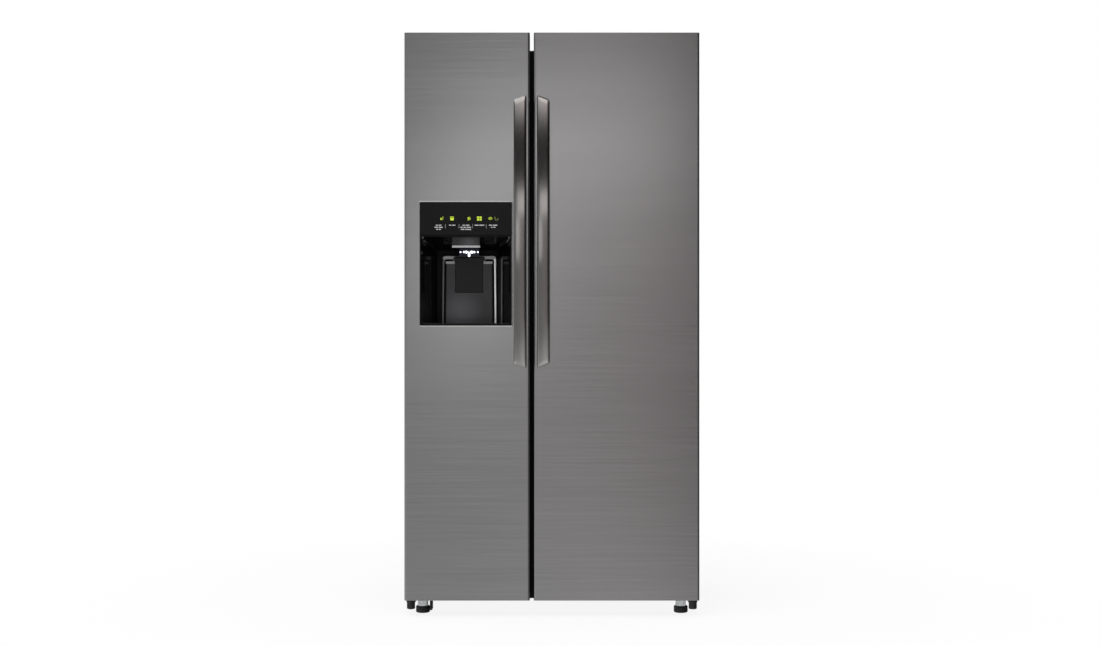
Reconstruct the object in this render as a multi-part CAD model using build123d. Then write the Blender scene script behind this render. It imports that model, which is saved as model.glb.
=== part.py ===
from build123d import *
import os
from math import radians, sin, sqrt

# Side by side refrigerator and freezer: two doors, ice and water dispenser, shelves, drawers and cooling unit.
# Millimetres. +Z is up from the floor, the doors face -Y, and X = 0, Y = 0 is the middle of the plan.

# Overall size
width = 894.0
height = 1770.0
depth = 731.0

# Doors
door_bottom = 50.0
door_thickness = 62.0
freezer_door_width = 380.0
door_gap = 12.0
gasket_gap = 13.0
door_skin = 1.0
door_corner = 6.0
cap_height = 16.0
door_liner_sheet = 2.0
dyke_width = 24.0
dyke_reach = 45.0
dyke_margin = 16.0
dyke_round = 6.0
swing_clearance = 4.0

# Door seals
seal_inset = 8.0
seal_width = 16.0
seal_foot_width = 8.0
seal_foot_height = 5.0

# Handles
handle_reach = 55.0
handle_width = 38.0
handle_thickness = 17.0
handle_length = 824.0
handle_middle = 1166.5
handle_inset = 10.0
handle_end_gap = 10.0
handle_end_slope = 14.0
handle_edge_round = 5.0
handle_tip_round = 3.0
handle_shoulder_round = 10.0
handle_post_length = 46.0
handle_post_margin = 5.0

# Hinges
hinge_inset = 18.0
hinge_setback = 30.0
notch_radius = 24.0
notch_drop = 3.0
notch_lining = 3.0
hinge_pin_radius = 5.0
hinge_pin_length = 24.0
hinge_arm_half = 11.0
hinge_plate = 4.0
hinge_foot_width = 88.0
hinge_foot_length = 80.0
hinge_foot_margin = 8.0
hinge_cover_half = 14.5
hinge_cover_wall = 1.6
hinge_cover_height = 34.0
hinge_cover_margin = 4.0
lower_hinge_width = 28.0
lower_hinge_length = 110.0
lower_hub_radius = 12.5
lower_hub_bottom = 20.0
lower_pin_radius = 6.0
lower_pin_length = 20.0
lower_collar_radius = 10.0
bearing_wall = 8.0

# Cabinet
door_rise = 43.0
cabinet_bottom = 45.0
case_sheet = 1.0
case_corner = 6.0
case_flange = 25.0
rear_bead = 3.0
rear_bead_margin = 70.0
liner_sheet = 2.0
liner_round = 14.0
freezer_wall = 50.0
fridge_wall = 45.0
divider_wall = 66.0
rear_wall = 60.0
ceiling_wall = 55.0
compartment_floor = 110.0
apron_margin = 6.0
mullion_sheet = 1.2
mullion_margin = 2.0
base_sheet = 1.5

# Machine room at the rear bottom
machine_front = 165.0
machine_top = 255.0
step_wall = 45.0
tray_sheet = 2.0
machine_cover_sheet = 1.5
louvre_count = 9
louvre_height = 6.0
louvre_width = 260.0
louvre_margin_rows = 1
compressor_inset = 197.0
compressor_radius = 82.0
compressor_shell_height = 120.0
compressor_dome = 33.0
compressor_seam_rise = 66.0
compressor_seam_height = 5.0
compressor_seam_reach = 3.0
compressor_plate_margin = 8.0
compressor_plate_half = 60.0
terminal_depth = 32.0
terminal_sink = 12.0
terminal_half = 26.0
terminal_height = 38.0
terminal_drop = 4.0
condenser_tube = 4.0
condenser_layers = 4
condenser_passes = 5
condenser_pitch = 32.0
condenser_offset = 130.0
condenser_layer_gap = 50.0
condenser_length = 140.0
fan_radius = 62.0
fan_hub_radius = 18.0
fan_hub_length = 20.0
fan_blades = 5
fan_blade_chord = 40.0
fan_blade_thickness = 2.0
fan_blade_angle = 28.0
fan_motor_radius = 22.0
fan_motor_length = 34.0
fan_shaft_radius = 2.5
fan_shaft_length = 24.0
fan_ring_wall = 9.0
fan_frame_thickness = 6.0
fan_offset = 180.0
inlet_inset = 62.0
inlet_z = 150.0
inlet_radius = 13.2
inlet_length = 14.0
inlet_opening = 27.0
valve_half = 20.0
valve_length = 46.0
valve_coil_radius = 17.0
valve_coil_height = 42.0
bracket_half = 24.0
bracket_gap = 4.0
bracket_sheet = 2.0
bracket_height = 26.0
bracket_reach = 30.0
bracket_neck_half = 12.0
bracket_neck_setback = 6.0

# Feet and rollers
foot_inset = 50.0
foot_setback = 14.0
foot_radius = 21.5
foot_height = 21.0
foot_round = 4.0
collar_radius = 16.0
stud_radius = 6.0
stud_length = 26.0
stud_boss_wall = 5.0
roller_radius = 20.0
roller_width = 18.0
roller_axle_radius = 4.0
roller_inset = 70.0
roller_y = 300.0
roller_ear = 3.0
roller_ear_half = 12.0
roller_ear_round = 11.0
roller_round = 2.2

# Compartment fittings
shelf_glass = 5.0
shelf_front = 126.0
shelf_side_gap = 1.5
shelf_trim_depth = 10.0
shelf_trim_height = 16.0
shelf_rail_width = 10.0
shelf_rail_height = 8.0
shelf_rear_gap = 6.0
freezer_shelf_count = 3
freezer_shelf_pitch = 238.0
fridge_shelf_count = 4
fridge_shelf_pitch = 253.0
drawer_wall = 2.5
drawer_round = 12.0
upper_drawer_height = 190.0
drawer_headroom = 14.0
drawer_side_gap = 4.0
drawer_step_gap = 8.0
drawer_pull_depth = 14.0
drawer_pull_height = 12.0
evaporator_space = 80.5
evaporator_cover_sheet = 4.0
evaporator_rise = 40.0
evaporator_tube = 4.0
evaporator_pitch = 40.0
evaporator_passes = 9
evaporator_fins = 16
evaporator_fin = 1.0
evaporator_margin = 40.0
cooler_fan_rise = 790.0
air_slot_rows = 5
air_slot_pitch = 18.0
air_slot_height = 9.0
air_slot_round = 4.0
lower_slots_rise = 60.0
upper_slots_drop = 40.0
air_duct_width = 150.0
air_duct_depth = 30.0
air_duct_rise = 26.0
air_duct_headroom = 72.0
air_duct_vents = 5
lamp_width = 130.0
lamp_depth = 70.0
lamp_height = 14.0
lamp_rear_gap = 13.5

# Ice maker, ice bin and auger
ice_bin_rise = 4.0
ice_bin_height = 205.0
ice_bin_setback = 85.0
ice_bin_rear_gap = 22.0
ice_spout_half = 36.0
ice_spout_gap = 8.0
ice_spout_drop = 70.0
ice_spout_length = 46.0
auger_height = 52.0
auger_radius = 36.0
auger_wire = 4.0
auger_turn_spacing = 60.0
auger_turns = 4
auger_shaft_radius = 6.0
ice_tray_width = 120.0
ice_tray_height = 36.0
ice_tray_drop = 152.0
ice_tray_rear_gap = 12.0
ice_cell_rows = 7
ice_cell_wall = 3.0
ice_cell_depth = 26.0
ice_drive_length = 46.0
ice_drive_height = 90.0

# Door bins
bin_wall = 2.5
bin_round = 16.0
bin_reach = 110.0
bin_lug_height = 8.0
bin_lug_width = 9.0
bin_lug_length = 26.0
bin_floor_rise = 50.0
freezer_bin_count = 3
freezer_bin_pitch = 230.0
freezer_bin_height = 120.0
freezer_top_bin_drop = 172.0
fridge_bin_count = 5
fridge_bin_pitch = 288.0
fridge_bin_height = 130.0

# Ice and water dispenser
dispenser_width = 279.0
dispenser_height = 375.0
dispenser_side = 47.0
dispenser_drop = 513.0
dispenser_trim = 1.2
dispenser_trim_depth = 8.0
dispenser_trim_round = 0.8
fascia_height = 101.4
fascia_thickness = 8.0
fascia_proud = 1.0
fascia_bevel = 3.0
button_count = 5
button_pitch = 41.3
button_width = 38.4
button_height = 26.0
button_rise = 16.0
button_depth = 6.0
recess_rim = 3.0
recess_depth = 80.0
recess_back_width = 184.0
recess_back_drop = 42.0
recess_corner = 8.0
recess_wall = 2.5
pad_offset = 7.0
pad_width = 146.0
pad_depth = 16.0
pad_taper = 4.0
pad_round = 4.5
pad_corner = 8.0
pad_rim_gap = 5.5
pad_rim_wall = 5.0
pad_rim_bar = 10.0
pad_rim_bar_gap = 7.0
pad_rim_step = 2.0
pad_rim_round = 2.2
paddle_width = 82.5
paddle_height = 107.5
paddle_top = 210.5
paddle_thickness = 5.0
paddle_proud = 1.5
paddle_gap = 1.5
paddle_pin_radius = 3.0
paddle_pin_length = 6.0
paddle_pin_drop = 5.0
paddle_swing = 8.0
paddle_stop_gap = 2.0
chute_width = 83.0
chute_depth = 46.0
chute_bottom_drop = 36.5
chute_wall = 2.5
chute_gap = 1.5
collar_bottom_rise = 10.6
collar_height = 70.0
collar_proud = 1.0
flap_side_gap = 1.5
flap_thickness = 3.0
flap_length = 60.0
flap_pin_radius = 2.5
flap_pin_setback = 4.0
flap_pin_drop = 6.0
bulge_reach = 25.5
bulge_margin = 12.0
bulge_half = 112.0
lamp_bar_half = 30.0
lamp_bar_depth = 11.0
lamp_bar_back = 6.0
spout_radius = 2.6
drip_tray_height = 5.0
drip_tray_gap = 1.5
drip_slot_count = 11
drip_slot_width = 5.0
drip_slot_pitch = 12.0
drip_slot_margin = 10.0

# Clearances
running_fit = 0.08
loose_fit = 0.2
assembly_gap = 0.3
cut_over = 5.0
join_over = 1.0
edge_tolerance = 0.01

# Shares of a thickness by which an edge is rounded
full_round = 0.45
soft_round = 0.3

# Places worked out from the sizes
half_width = width / 2
handle_front_y = -depth / 2
door_front_y = handle_front_y + handle_reach
door_back_y = door_front_y + door_thickness
cabinet_front_y = door_back_y + gasket_gap
cabinet_back_y = depth / 2 - rear_bead
cabinet_top = height - door_rise
ceiling_z = cabinet_top - ceiling_wall
compartment_back_y = cabinet_back_y - rear_wall
step_y = machine_front - step_wall
step_z = machine_top + step_wall
gap_middle = -half_width + freezer_door_width + door_gap / 2
apron_top = compartment_floor - apron_margin
flange_top = cabinet_top - case_flange
hinge_y = door_front_y + hinge_setback
notch_floor = cabinet_top - notch_drop
bin_front_y = cabinet_front_y + bin_reach
shelf_front_y = cabinet_front_y + shelf_front
dyke_end_y = cabinet_front_y + dyke_reach - gasket_gap
foot_x = half_width - foot_inset
foot_y = cabinet_front_y + foot_setback
dispenser_left = -half_width + dispenser_side
dispenser_right = dispenser_left + dispenser_width
dispenser_x = (dispenser_left + dispenser_right) / 2
dispenser_top = height - dispenser_drop
dispenser_bottom = dispenser_top - dispenser_height
fascia_bottom = dispenser_top - fascia_height
recess_floor = dispenser_bottom + recess_rim
recess_back_y = door_front_y + recess_depth
pad_x = dispenser_x + pad_offset
pad_face_y = recess_back_y - pad_depth
paddle_z = dispenser_bottom + paddle_top
pad_rim_top = paddle_z + paddle_gap + recess_wall
pad_top = pad_rim_top - pad_rim_bar - pad_rim_bar_gap
paddle_front_y = pad_face_y - paddle_proud
paddle_pin_y = paddle_front_y + paddle_thickness / 2
paddle_pin_z = paddle_z - paddle_pin_drop
paddle_arm = paddle_height - paddle_pin_drop
pocket_back_y = paddle_front_y + paddle_thickness + paddle_arm * sin(radians(paddle_swing)) + paddle_stop_gap
chute_front_y = door_front_y + fascia_thickness + chute_gap
chute_back_y = chute_front_y + chute_depth
chute_bottom = fascia_bottom - chute_bottom_drop
collar_bottom = fascia_bottom + collar_bottom_rise
collar_top = collar_bottom + collar_height
bulge_y = recess_back_y + bulge_reach
collar_end_y = bulge_y + collar_proud
flap_pin_y = chute_back_y - chute_wall - flap_pin_setback
flap_pin_z = collar_top - chute_wall - flap_pin_drop
lamp_bar_bottom = pad_rim_top + assembly_gap
evaporator_cover_y = compartment_back_y - evaporator_space
evaporator_back_y = evaporator_cover_y + evaporator_cover_sheet
evaporator_bottom = step_z + evaporator_rise
cooler_fan_z = step_z + cooler_fan_rise
compressor_x = compressor_inset - half_width
fan_x = compressor_x + fan_offset
condenser_left = fan_x + condenser_offset
inlet_x = half_width - inlet_inset
shelf_back_y = evaporator_cover_y - shelf_rear_gap
fridge_shelf_back_y = compartment_back_y - air_duct_depth - shelf_rear_gap
tray_top = cabinet_bottom + tray_sheet
upper_drawer_level = step_z + liner_round + shelf_rail_height
lower_drawer_height = upper_drawer_level - shelf_rail_height - drawer_headroom - compartment_floor
first_shelf_level = upper_drawer_level + upper_drawer_height + shelf_rail_height + drawer_headroom
freezer_shelf_levels = [first_shelf_level + row * freezer_shelf_pitch for row in range(freezer_shelf_count)]
fridge_shelf_levels = [first_shelf_level + row * fridge_shelf_pitch for row in range(fridge_shelf_count)]
air_duct_bottom = first_shelf_level + air_duct_rise
air_duct_top = ceiling_z - air_duct_headroom
first_bin_level = compartment_floor + bin_floor_rise
freezer_bin_levels = [first_bin_level + row * freezer_bin_pitch for row in range(freezer_bin_count)]
freezer_bin_levels.append(ceiling_z - freezer_top_bin_drop)
fridge_bin_levels = [first_bin_level + row * fridge_bin_pitch for row in range(fridge_bin_count)]
ice_bin_level = collar_top + ice_bin_rise
ice_bin_front = cabinet_front_y + ice_bin_setback
ice_bin_rear = evaporator_cover_y - ice_bin_rear_gap
ice_spout_tip = collar_end_y + ice_spout_gap
ice_tray_level = ceiling_z - ice_tray_drop
ice_tray_front = shelf_front_y + lamp_depth + lamp_rear_gap + ice_drive_length
ice_tray_length = evaporator_cover_y - ice_tray_rear_gap - ice_tray_front


# Basic forms
def block(xs, ys, zs):
    """Rectangular solid between two X, two Y and two Z values."""
    (x0, x1), (y0, y1), (z0, z1) = sorted(xs), sorted(ys), sorted(zs)
    return Pos((x0 + x1) / 2, (y0 + y1) / 2, (z0 + z1) / 2) * Box(x1 - x0, y1 - y0, z1 - z0)


def prism_x(points, xs):
    """Outline of (y, z) points carried from one X value to the other."""
    x0, x1 = sorted(xs)
    return extrude(Plane.YZ.offset(x0) * make_face(Polyline(*points, close=True)), amount=x1 - x0)


def plate_y(face, ys):
    """Flat (x, z) outline carried from one Y value to the other."""
    y0, y1 = sorted(ys)
    return extrude(Plane.XZ.offset(-y1) * face, amount=y1 - y0)


def rod_x(radius, xs, y, z):
    """Round bar along X."""
    x0, x1 = sorted(xs)
    return Pos((x0 + x1) / 2, y, z) * Rot(0, 90, 0) * Cylinder(radius, x1 - x0)


def rod_y(radius, x, ys, z):
    """Round bar along Y."""
    y0, y1 = sorted(ys)
    return Pos(x, (y0 + y1) / 2, z) * Rot(90, 0, 0) * Cylinder(radius, y1 - y0)


def rod_z(radius, x, y, zs):
    """Round bar along Z."""
    z0, z1 = sorted(zs)
    return Pos(x, y, (z0 + z1) / 2) * Cylinder(radius, z1 - z0)


def rounded(solid, axis, radius):
    """The solid with every edge along one axis rounded."""
    return fillet(solid.edges().filter_by(axis), radius)


def ring_y(xs, zs, ys, band, corner):
    """Upright rectangular ring with rounded outer corners."""
    outer = rounded(block(xs, ys, zs), Axis.Y, corner)
    inner_xs = (min(xs) + band, max(xs) - band)
    inner_zs = (min(zs) + band, max(zs) - band)
    return outer - block(inner_xs, (min(ys) - cut_over, max(ys) + cut_over), inner_zs)


def open_tub(xs, ys, zs, wall, corner):
    """Box open at the top, with rounded upright corners."""
    outer = rounded(block(xs, ys, zs), Axis.Z, corner)
    inner_xs = (min(xs) + wall, max(xs) - wall)
    inner_ys = (min(ys) + wall, max(ys) - wall)
    inner = rounded(block(inner_xs, inner_ys, (min(zs) + wall, max(zs) + cut_over)), Axis.Z, corner - wall)
    return outer - inner


def both_sides(make):
    """Left and right copies of a piece, as one group."""
    return Compound(children=[make(-1), make(1)])


def group(solids):
    """Several separate solids in one named piece."""
    return Compound(children=list(solids))


def as_solids(shape):
    """A plain solid, or a compound of plain solids, without nesting."""
    found = list(shape.solids())
    return found[0] if len(found) == 1 else Compound(found)


# Places that differ between the freezer on the left, side -1, and the refrigerator on the right, side 1
def door_edges(side):
    """X of a door's hinge edge and of its free edge."""
    free = gap_middle + side * door_gap / 2
    return side * half_width, free


def compartment_walls(side):
    """X of a compartment's wall by the hinges and of its wall by the divider."""
    outer_wall = freezer_wall if side < 0 else fridge_wall
    return side * (half_width - outer_wall), gap_middle + side * divider_wall / 2


def hinge_x(side):
    """X of a door's hinge line."""
    return side * (half_width - hinge_inset)


def swing_limit(side, y):
    """X that the free side of a door's inner fittings may reach at a given depth."""
    reach_x = abs(hinge_x(side) - compartment_walls(side)[1]) - swing_clearance
    reach = sqrt(reach_x ** 2 + (cabinet_front_y - hinge_y) ** 2)
    return hinge_x(side) - side * sqrt(reach ** 2 - (y - hinge_y) ** 2)


def dyke_xs(side):
    """X of the outer faces of the ridge on a door's inner face."""
    hinge_wall, latch_wall = compartment_walls(side)
    margin_x = latch_wall + side * dyke_margin
    limit_x = swing_limit(side, dyke_end_y)
    latch_x = side * max(side * margin_x, side * limit_x)
    return hinge_wall - side * dyke_margin, latch_x


def bin_xs(side):
    """X of a door bin's two sides, between the ridges and clear of the divider when the door swings."""
    hinge_ridge, latch_ridge = dyke_xs(side)
    hinge_side_x = hinge_ridge - side * (dyke_width + assembly_gap)
    ridge_x = latch_ridge + side * (dyke_width + assembly_gap)
    latch_side_x = side * max(side * ridge_x, side * swing_limit(side, bin_front_y))
    return hinge_side_x, latch_side_x


# Cabinet shell
def outer_case():
    """Folded steel wrapper: two sides, the top and the front flanges."""
    shell = block((-half_width, half_width), (cabinet_front_y, cabinet_back_y), (cabinet_bottom, cabinet_top))
    shell = fillet(shell.edges().filter_by(Axis.Y).group_by(Axis.Z)[-1], case_corner)
    inside_x = half_width - case_sheet
    inside = block((-inside_x, inside_x), (cabinet_front_y + case_sheet, cabinet_back_y + cut_over),
                   (cabinet_bottom - cut_over, cabinet_top - case_sheet))
    inside = fillet(inside.edges().filter_by(Axis.Y).group_by(Axis.Z)[-1], case_corner - case_sheet)
    mouth_x = half_width - case_flange
    mouth = block((-mouth_x, mouth_x), (cabinet_front_y - cut_over, cabinet_front_y + cut_over),
                  (cabinet_bottom - cut_over, flange_top))
    return shell - inside - mouth


def back_panel():
    """Steel rear panel with one raised field."""
    panel_x = half_width - case_sheet
    panel = block((-panel_x, panel_x), (cabinet_back_y - case_sheet, cabinet_back_y),
                  (machine_top, cabinet_top - case_sheet))
    panel = fillet(panel.edges().filter_by(Axis.Y).group_by(Axis.Z)[-1], case_corner - case_sheet)
    field_x = panel_x - rear_bead_margin
    field_zs = (machine_top + rear_bead_margin, cabinet_top - case_sheet - rear_bead_margin)
    field_ys = (cabinet_back_y - case_sheet, cabinet_back_y + rear_bead)
    field = rounded(block((-field_x, field_x), field_ys, field_zs), Axis.Y, rear_bead_margin / 2)
    hollow_x = field_x - case_sheet
    hollow_zs = (field_zs[0] + case_sheet, field_zs[1] - case_sheet)
    hollow_ys = (cabinet_back_y - cut_over, cabinet_back_y + rear_bead - case_sheet)
    hollow = block((-hollow_x, hollow_x), hollow_ys, hollow_zs)
    return panel + field - rounded(hollow, Axis.Y, rear_bead_margin / 2 - case_sheet)


def base_path(inset):
    """(y, z) line of the folded base, from the front apron to the rear, moved inward by an inset."""
    return [(cabinet_front_y + inset, apron_top),
            (cabinet_front_y + inset, cabinet_bottom + inset),
            (machine_front - inset, cabinet_bottom + inset),
            (machine_front - inset, machine_top + inset),
            (cabinet_back_y - case_sheet, machine_top + inset)]


def base_pan():
    """Folded steel base with its front apron, the step over the machine room and the foot bosses."""
    outline = base_path(0) + base_path(base_sheet)[::-1]
    inner_x = half_width - case_sheet
    sheet = prism_x(outline, (-inner_x, inner_x))
    corner_xs = (half_width - case_flange, half_width + cut_over)
    corner_ys = (cabinet_front_y - cut_over, cabinet_front_y + case_sheet)
    for side in (-1, 1):
        corner_zs = (cabinet_bottom - cut_over, apron_top + cut_over)
        sheet -= block([side * x for x in corner_xs], corner_ys, corner_zs)
        boss_zs = (cabinet_bottom, cabinet_bottom + stud_length + assembly_gap + base_sheet)
        sheet += rod_z(stud_radius + loose_fit + stud_boss_wall, side * foot_x, foot_y, boss_zs)
        bore_zs = (cabinet_bottom - cut_over, cabinet_bottom + stud_length + assembly_gap)
        sheet -= rod_z(stud_radius + loose_fit, side * foot_x, foot_y, bore_zs)
    return sheet


def compressor_tray():
    """Steel floor of the machine room with an ear on each side of both rollers."""
    inner_x = half_width - case_sheet
    tray_ys = (machine_front, cabinet_back_y - machine_cover_sheet)
    tray = block((-inner_x, inner_x), tray_ys, (cabinet_bottom, tray_top))
    ear_inside = roller_width / 2 + assembly_gap
    for side in (-1, 1):
        wheel_x = side * (half_width - roller_inset)
        for face in (-1, 1):
            ear_xs = (wheel_x + face * ear_inside, wheel_x + face * (ear_inside + roller_ear))
            ear_ys = (roller_y - roller_ear_half, roller_y + roller_ear_half)
            ear = block(ear_xs, ear_ys, (roller_radius - roller_ear_half, cabinet_bottom))
            tray += fillet(ear.edges().filter_by(Axis.X).group_by(Axis.Z)[0], roller_ear_round)
            hole_xs = [x + face * cut_over * sign for x, sign in zip(ear_xs, (-1, 1))]
            tray -= rod_x(roller_axle_radius + running_fit, hole_xs, roller_y, roller_radius)
    return tray


def liner_form(side, grow):
    """Outside or inside of a compartment liner, stepped over the machine room."""
    left, right = sorted(compartment_walls(side))
    xs = (left - grow, right + grow)
    top = ceiling_z + grow
    front = block(xs, (cabinet_front_y, step_y + grow), (compartment_floor - grow, top))
    rear = block(xs, (cabinet_front_y, compartment_back_y + grow), (step_z - grow, top))
    return rounded(front, Axis.Y, liner_round + grow) + rounded(rear, Axis.Y, liner_round + grow)


def shelf_rails(side, level, back_y):
    """Pair of moulded rails that carry a shelf at one level."""
    hinge_wall, latch_wall = compartment_walls(side)
    rail_ys = (shelf_front_y + shelf_rail_width, back_y)
    rail_zs = (level - shelf_rail_height, level)
    near = block((hinge_wall + side * join_over, hinge_wall - side * shelf_rail_width), rail_ys, rail_zs)
    far = block((latch_wall - side * join_over, latch_wall + side * shelf_rail_width), rail_ys, rail_zs)
    return [near, far]


def compartment_liner(side, rail_levels, back_y):
    """Formed plastic liner with its front flange and its rails."""
    hinge_wall, latch_wall = compartment_walls(side)
    flange_xs = (side * (half_width - case_flange), latch_wall - side * mullion_margin)
    flange = block(flange_xs, (cabinet_front_y, cabinet_front_y + liner_sheet), (apron_top, flange_top))
    shell = liner_form(side, liner_sheet) + flange - liner_form(side, 0)
    for level in rail_levels:
        shell += shelf_rails(side, level, back_y)
    return shell


def freezer_liner():
    """Freezer compartment liner, with rails for shelves, upper drawer and ice bin."""
    return compartment_liner(-1, freezer_shelf_levels + [upper_drawer_level, ice_bin_level], shelf_back_y)


def fridge_liner():
    """Refrigerator compartment liner, with rails for shelves and upper drawer."""
    return compartment_liner(1, fridge_shelf_levels + [upper_drawer_level], fridge_shelf_back_y)


def centre_mullion():
    """Steel strip that closes the divider between the compartments and takes both door seals."""
    strip_half = divider_wall / 2 - mullion_margin
    strip_xs = (gap_middle - strip_half, gap_middle + strip_half)
    return block(strip_xs, (cabinet_front_y, cabinet_front_y + mullion_sheet), (apron_top, flange_top))


def foam_insulation():
    """Insulation between the case and the liners."""
    side_x = half_width - case_sheet - assembly_gap
    front_y = cabinet_front_y + liner_sheet + assembly_gap
    inner = base_sheet + assembly_gap
    back_y = cabinet_back_y - case_sheet - assembly_gap
    top_z = cabinet_top - case_sheet - assembly_gap
    outline = [(front_y, cabinet_bottom + inner),
               (machine_front - inner, cabinet_bottom + inner),
               (machine_front - inner, machine_top + inner),
               (back_y, machine_top + inner),
               (back_y, top_z),
               (front_y, top_z)]
    foam = prism_x(outline, (-side_x, side_x))
    foam = fillet(foam.edges().filter_by(Axis.Y).group_by(Axis.Z)[-1], case_corner)
    boss_radius = stud_radius + loose_fit + stud_boss_wall + assembly_gap
    boss_top = cabinet_bottom + stud_length + base_sheet + 2 * assembly_gap
    for side in (-1, 1):
        foam -= liner_form(side, liner_sheet + assembly_gap)
        foam -= rod_z(boss_radius, side * foot_x, foot_y, (cabinet_bottom - cut_over, boss_top))
    return foam


# Machine room
def machine_cover():
    """Louvred rear cover with a round opening for the water inlet."""
    cover_x = half_width - case_sheet - assembly_gap
    cover_ys = (cabinet_back_y - machine_cover_sheet, cabinet_back_y)
    cover = block((-cover_x, cover_x), cover_ys, (cabinet_bottom, machine_top - assembly_gap))
    cut_ys = (cabinet_back_y - cut_over, cabinet_back_y + cut_over)
    pitch = (machine_top - cabinet_bottom) / (louvre_count + 2 * louvre_margin_rows)
    slots = []
    for row in range(louvre_count):
        low = cabinet_bottom + (row + louvre_margin_rows + 0.5) * pitch - louvre_height / 2
        for middle in (compressor_x, fan_x + louvre_width / 2 + fan_radius):
            slot_xs = (middle - louvre_width / 2, middle + louvre_width / 2)
            slot = block(slot_xs, cut_ys, (low, low + louvre_height))
            slots.append(rounded(slot, Axis.Y, louvre_height * full_round))
    return cover - slots - rod_y(inlet_opening, inlet_x, cut_ys, inlet_z)


def compressor():
    """Hermetic compressor pot with its waist seam, terminal box and foot plate."""
    middle_y = machine_room_middle()
    pot_bottom = tray_top + tray_sheet
    pot = rod_z(compressor_radius, compressor_x, middle_y, (pot_bottom, pot_bottom + compressor_shell_height))
    pot = fillet(pot.edges().filter_by(GeomType.CIRCLE), compressor_dome)
    seam_z = pot_bottom + compressor_seam_rise
    seam_zs = (seam_z, seam_z + compressor_seam_height)
    seam = rod_z(compressor_radius + compressor_seam_reach, compressor_x, middle_y, seam_zs)
    foot_half = compressor_radius + compressor_plate_margin
    plate = block((compressor_x - foot_half, compressor_x + foot_half),
                  (middle_y - compressor_plate_half, middle_y + compressor_plate_half),
                  (tray_top, pot_bottom + join_over))
    terminal_x = compressor_x + compressor_radius - terminal_sink
    terminal_top = seam_z - terminal_drop
    terminal_ys = (middle_y - terminal_half, middle_y + terminal_half)
    terminal = block((terminal_x, terminal_x + terminal_depth), terminal_ys,
                     (terminal_top - terminal_height, terminal_top))
    return pot + seam + plate + terminal


def condenser():
    """Condenser tube bent back and forth in upright layers, one unbroken tube."""
    middle_y = machine_room_middle()
    lowest = tray_top + condenser_tube + assembly_gap
    ends = (middle_y - condenser_length / 2, middle_y + condenser_length / 2)
    points = []
    end = 0
    for layer in range(condenser_layers):
        x = condenser_left + layer * condenser_layer_gap
        rows = range(condenser_passes) if layer % 2 == 0 else reversed(range(condenser_passes))
        for row in rows:
            z = lowest + row * condenser_pitch
            points.append((x, ends[end], z))
            end = 1 - end
            points.append((x, ends[end], z))
    path = FilletPolyline(*points, radius=condenser_pitch * full_round)
    return sweep(Plane(origin=path @ 0, z_dir=path % 0) * Circle(condenser_tube), path=path)


def fan(bore):
    """Fan about the Y axis at the origin: hub, pitched blades and bore."""
    hub = rod_y(fan_hub_radius, 0, (-fan_hub_length / 2, fan_hub_length / 2), 0)
    blade = Box(fan_radius, fan_blade_thickness, fan_blade_chord)
    blade = Pos(fan_radius / 2, 0, 0) * Rot(fan_blade_angle, 0, 0) * blade
    limit = rod_y(fan_radius, 0, (-fan_hub_length, fan_hub_length), 0)
    wheel = hub
    for index in range(fan_blades):
        wheel += Rot(0, 360 * index / fan_blades, 0) * blade & limit
    return wheel - rod_y(bore, 0, (-fan_hub_length, fan_hub_length), 0)


def fan_motor():
    """Fan motor and shaft along -Y from the motor's front face at the origin."""
    body = rod_y(fan_motor_radius, 0, (0, fan_motor_length), 0)
    body = fillet(body.edges().filter_by(GeomType.CIRCLE), fan_shaft_radius)
    return body + rod_y(fan_shaft_radius, 0, (-fan_shaft_length, fan_shaft_radius), 0)


def condenser_fan_height():
    """Z of the condenser fan's axis, with its frame standing on the tray."""
    return tray_top + fan_radius + fan_ring_wall


def machine_room_middle():
    """Y halfway through the machine room."""
    return (machine_front + cabinet_back_y) / 2


def turned_to_x(shape):
    """A shape built about the Y axis, turned so that its front looks along +X."""
    return Pos(fan_x, machine_room_middle(), condenser_fan_height()) * Rot(0, 0, 90) * shape


def condenser_fan_frame():
    """Square fan frame on the tray with arms to its motor."""
    reach = fan_radius + fan_ring_wall
    frame_ys = (fan_hub_length / 2 + assembly_gap, fan_hub_length / 2 + assembly_gap + fan_frame_thickness)
    frame = block((-reach, reach), frame_ys, (-reach, reach))
    frame -= rod_y(fan_radius + assembly_gap, 0, (frame_ys[0] - cut_over, frame_ys[1] + cut_over), 0)
    for turn in (0, 90):
        arm_zs = (-fan_shaft_radius * 2, fan_shaft_radius * 2)
        frame += Rot(0, turn, 0) * block((-reach, reach), frame_ys, arm_zs)
    motor = Pos(0, frame_ys[0], 0) * fan_motor()
    return turned_to_x(frame + motor)


def condenser_fan():
    """Fan that draws air over the condenser."""
    return turned_to_x(fan(fan_shaft_radius + running_fit))


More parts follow.
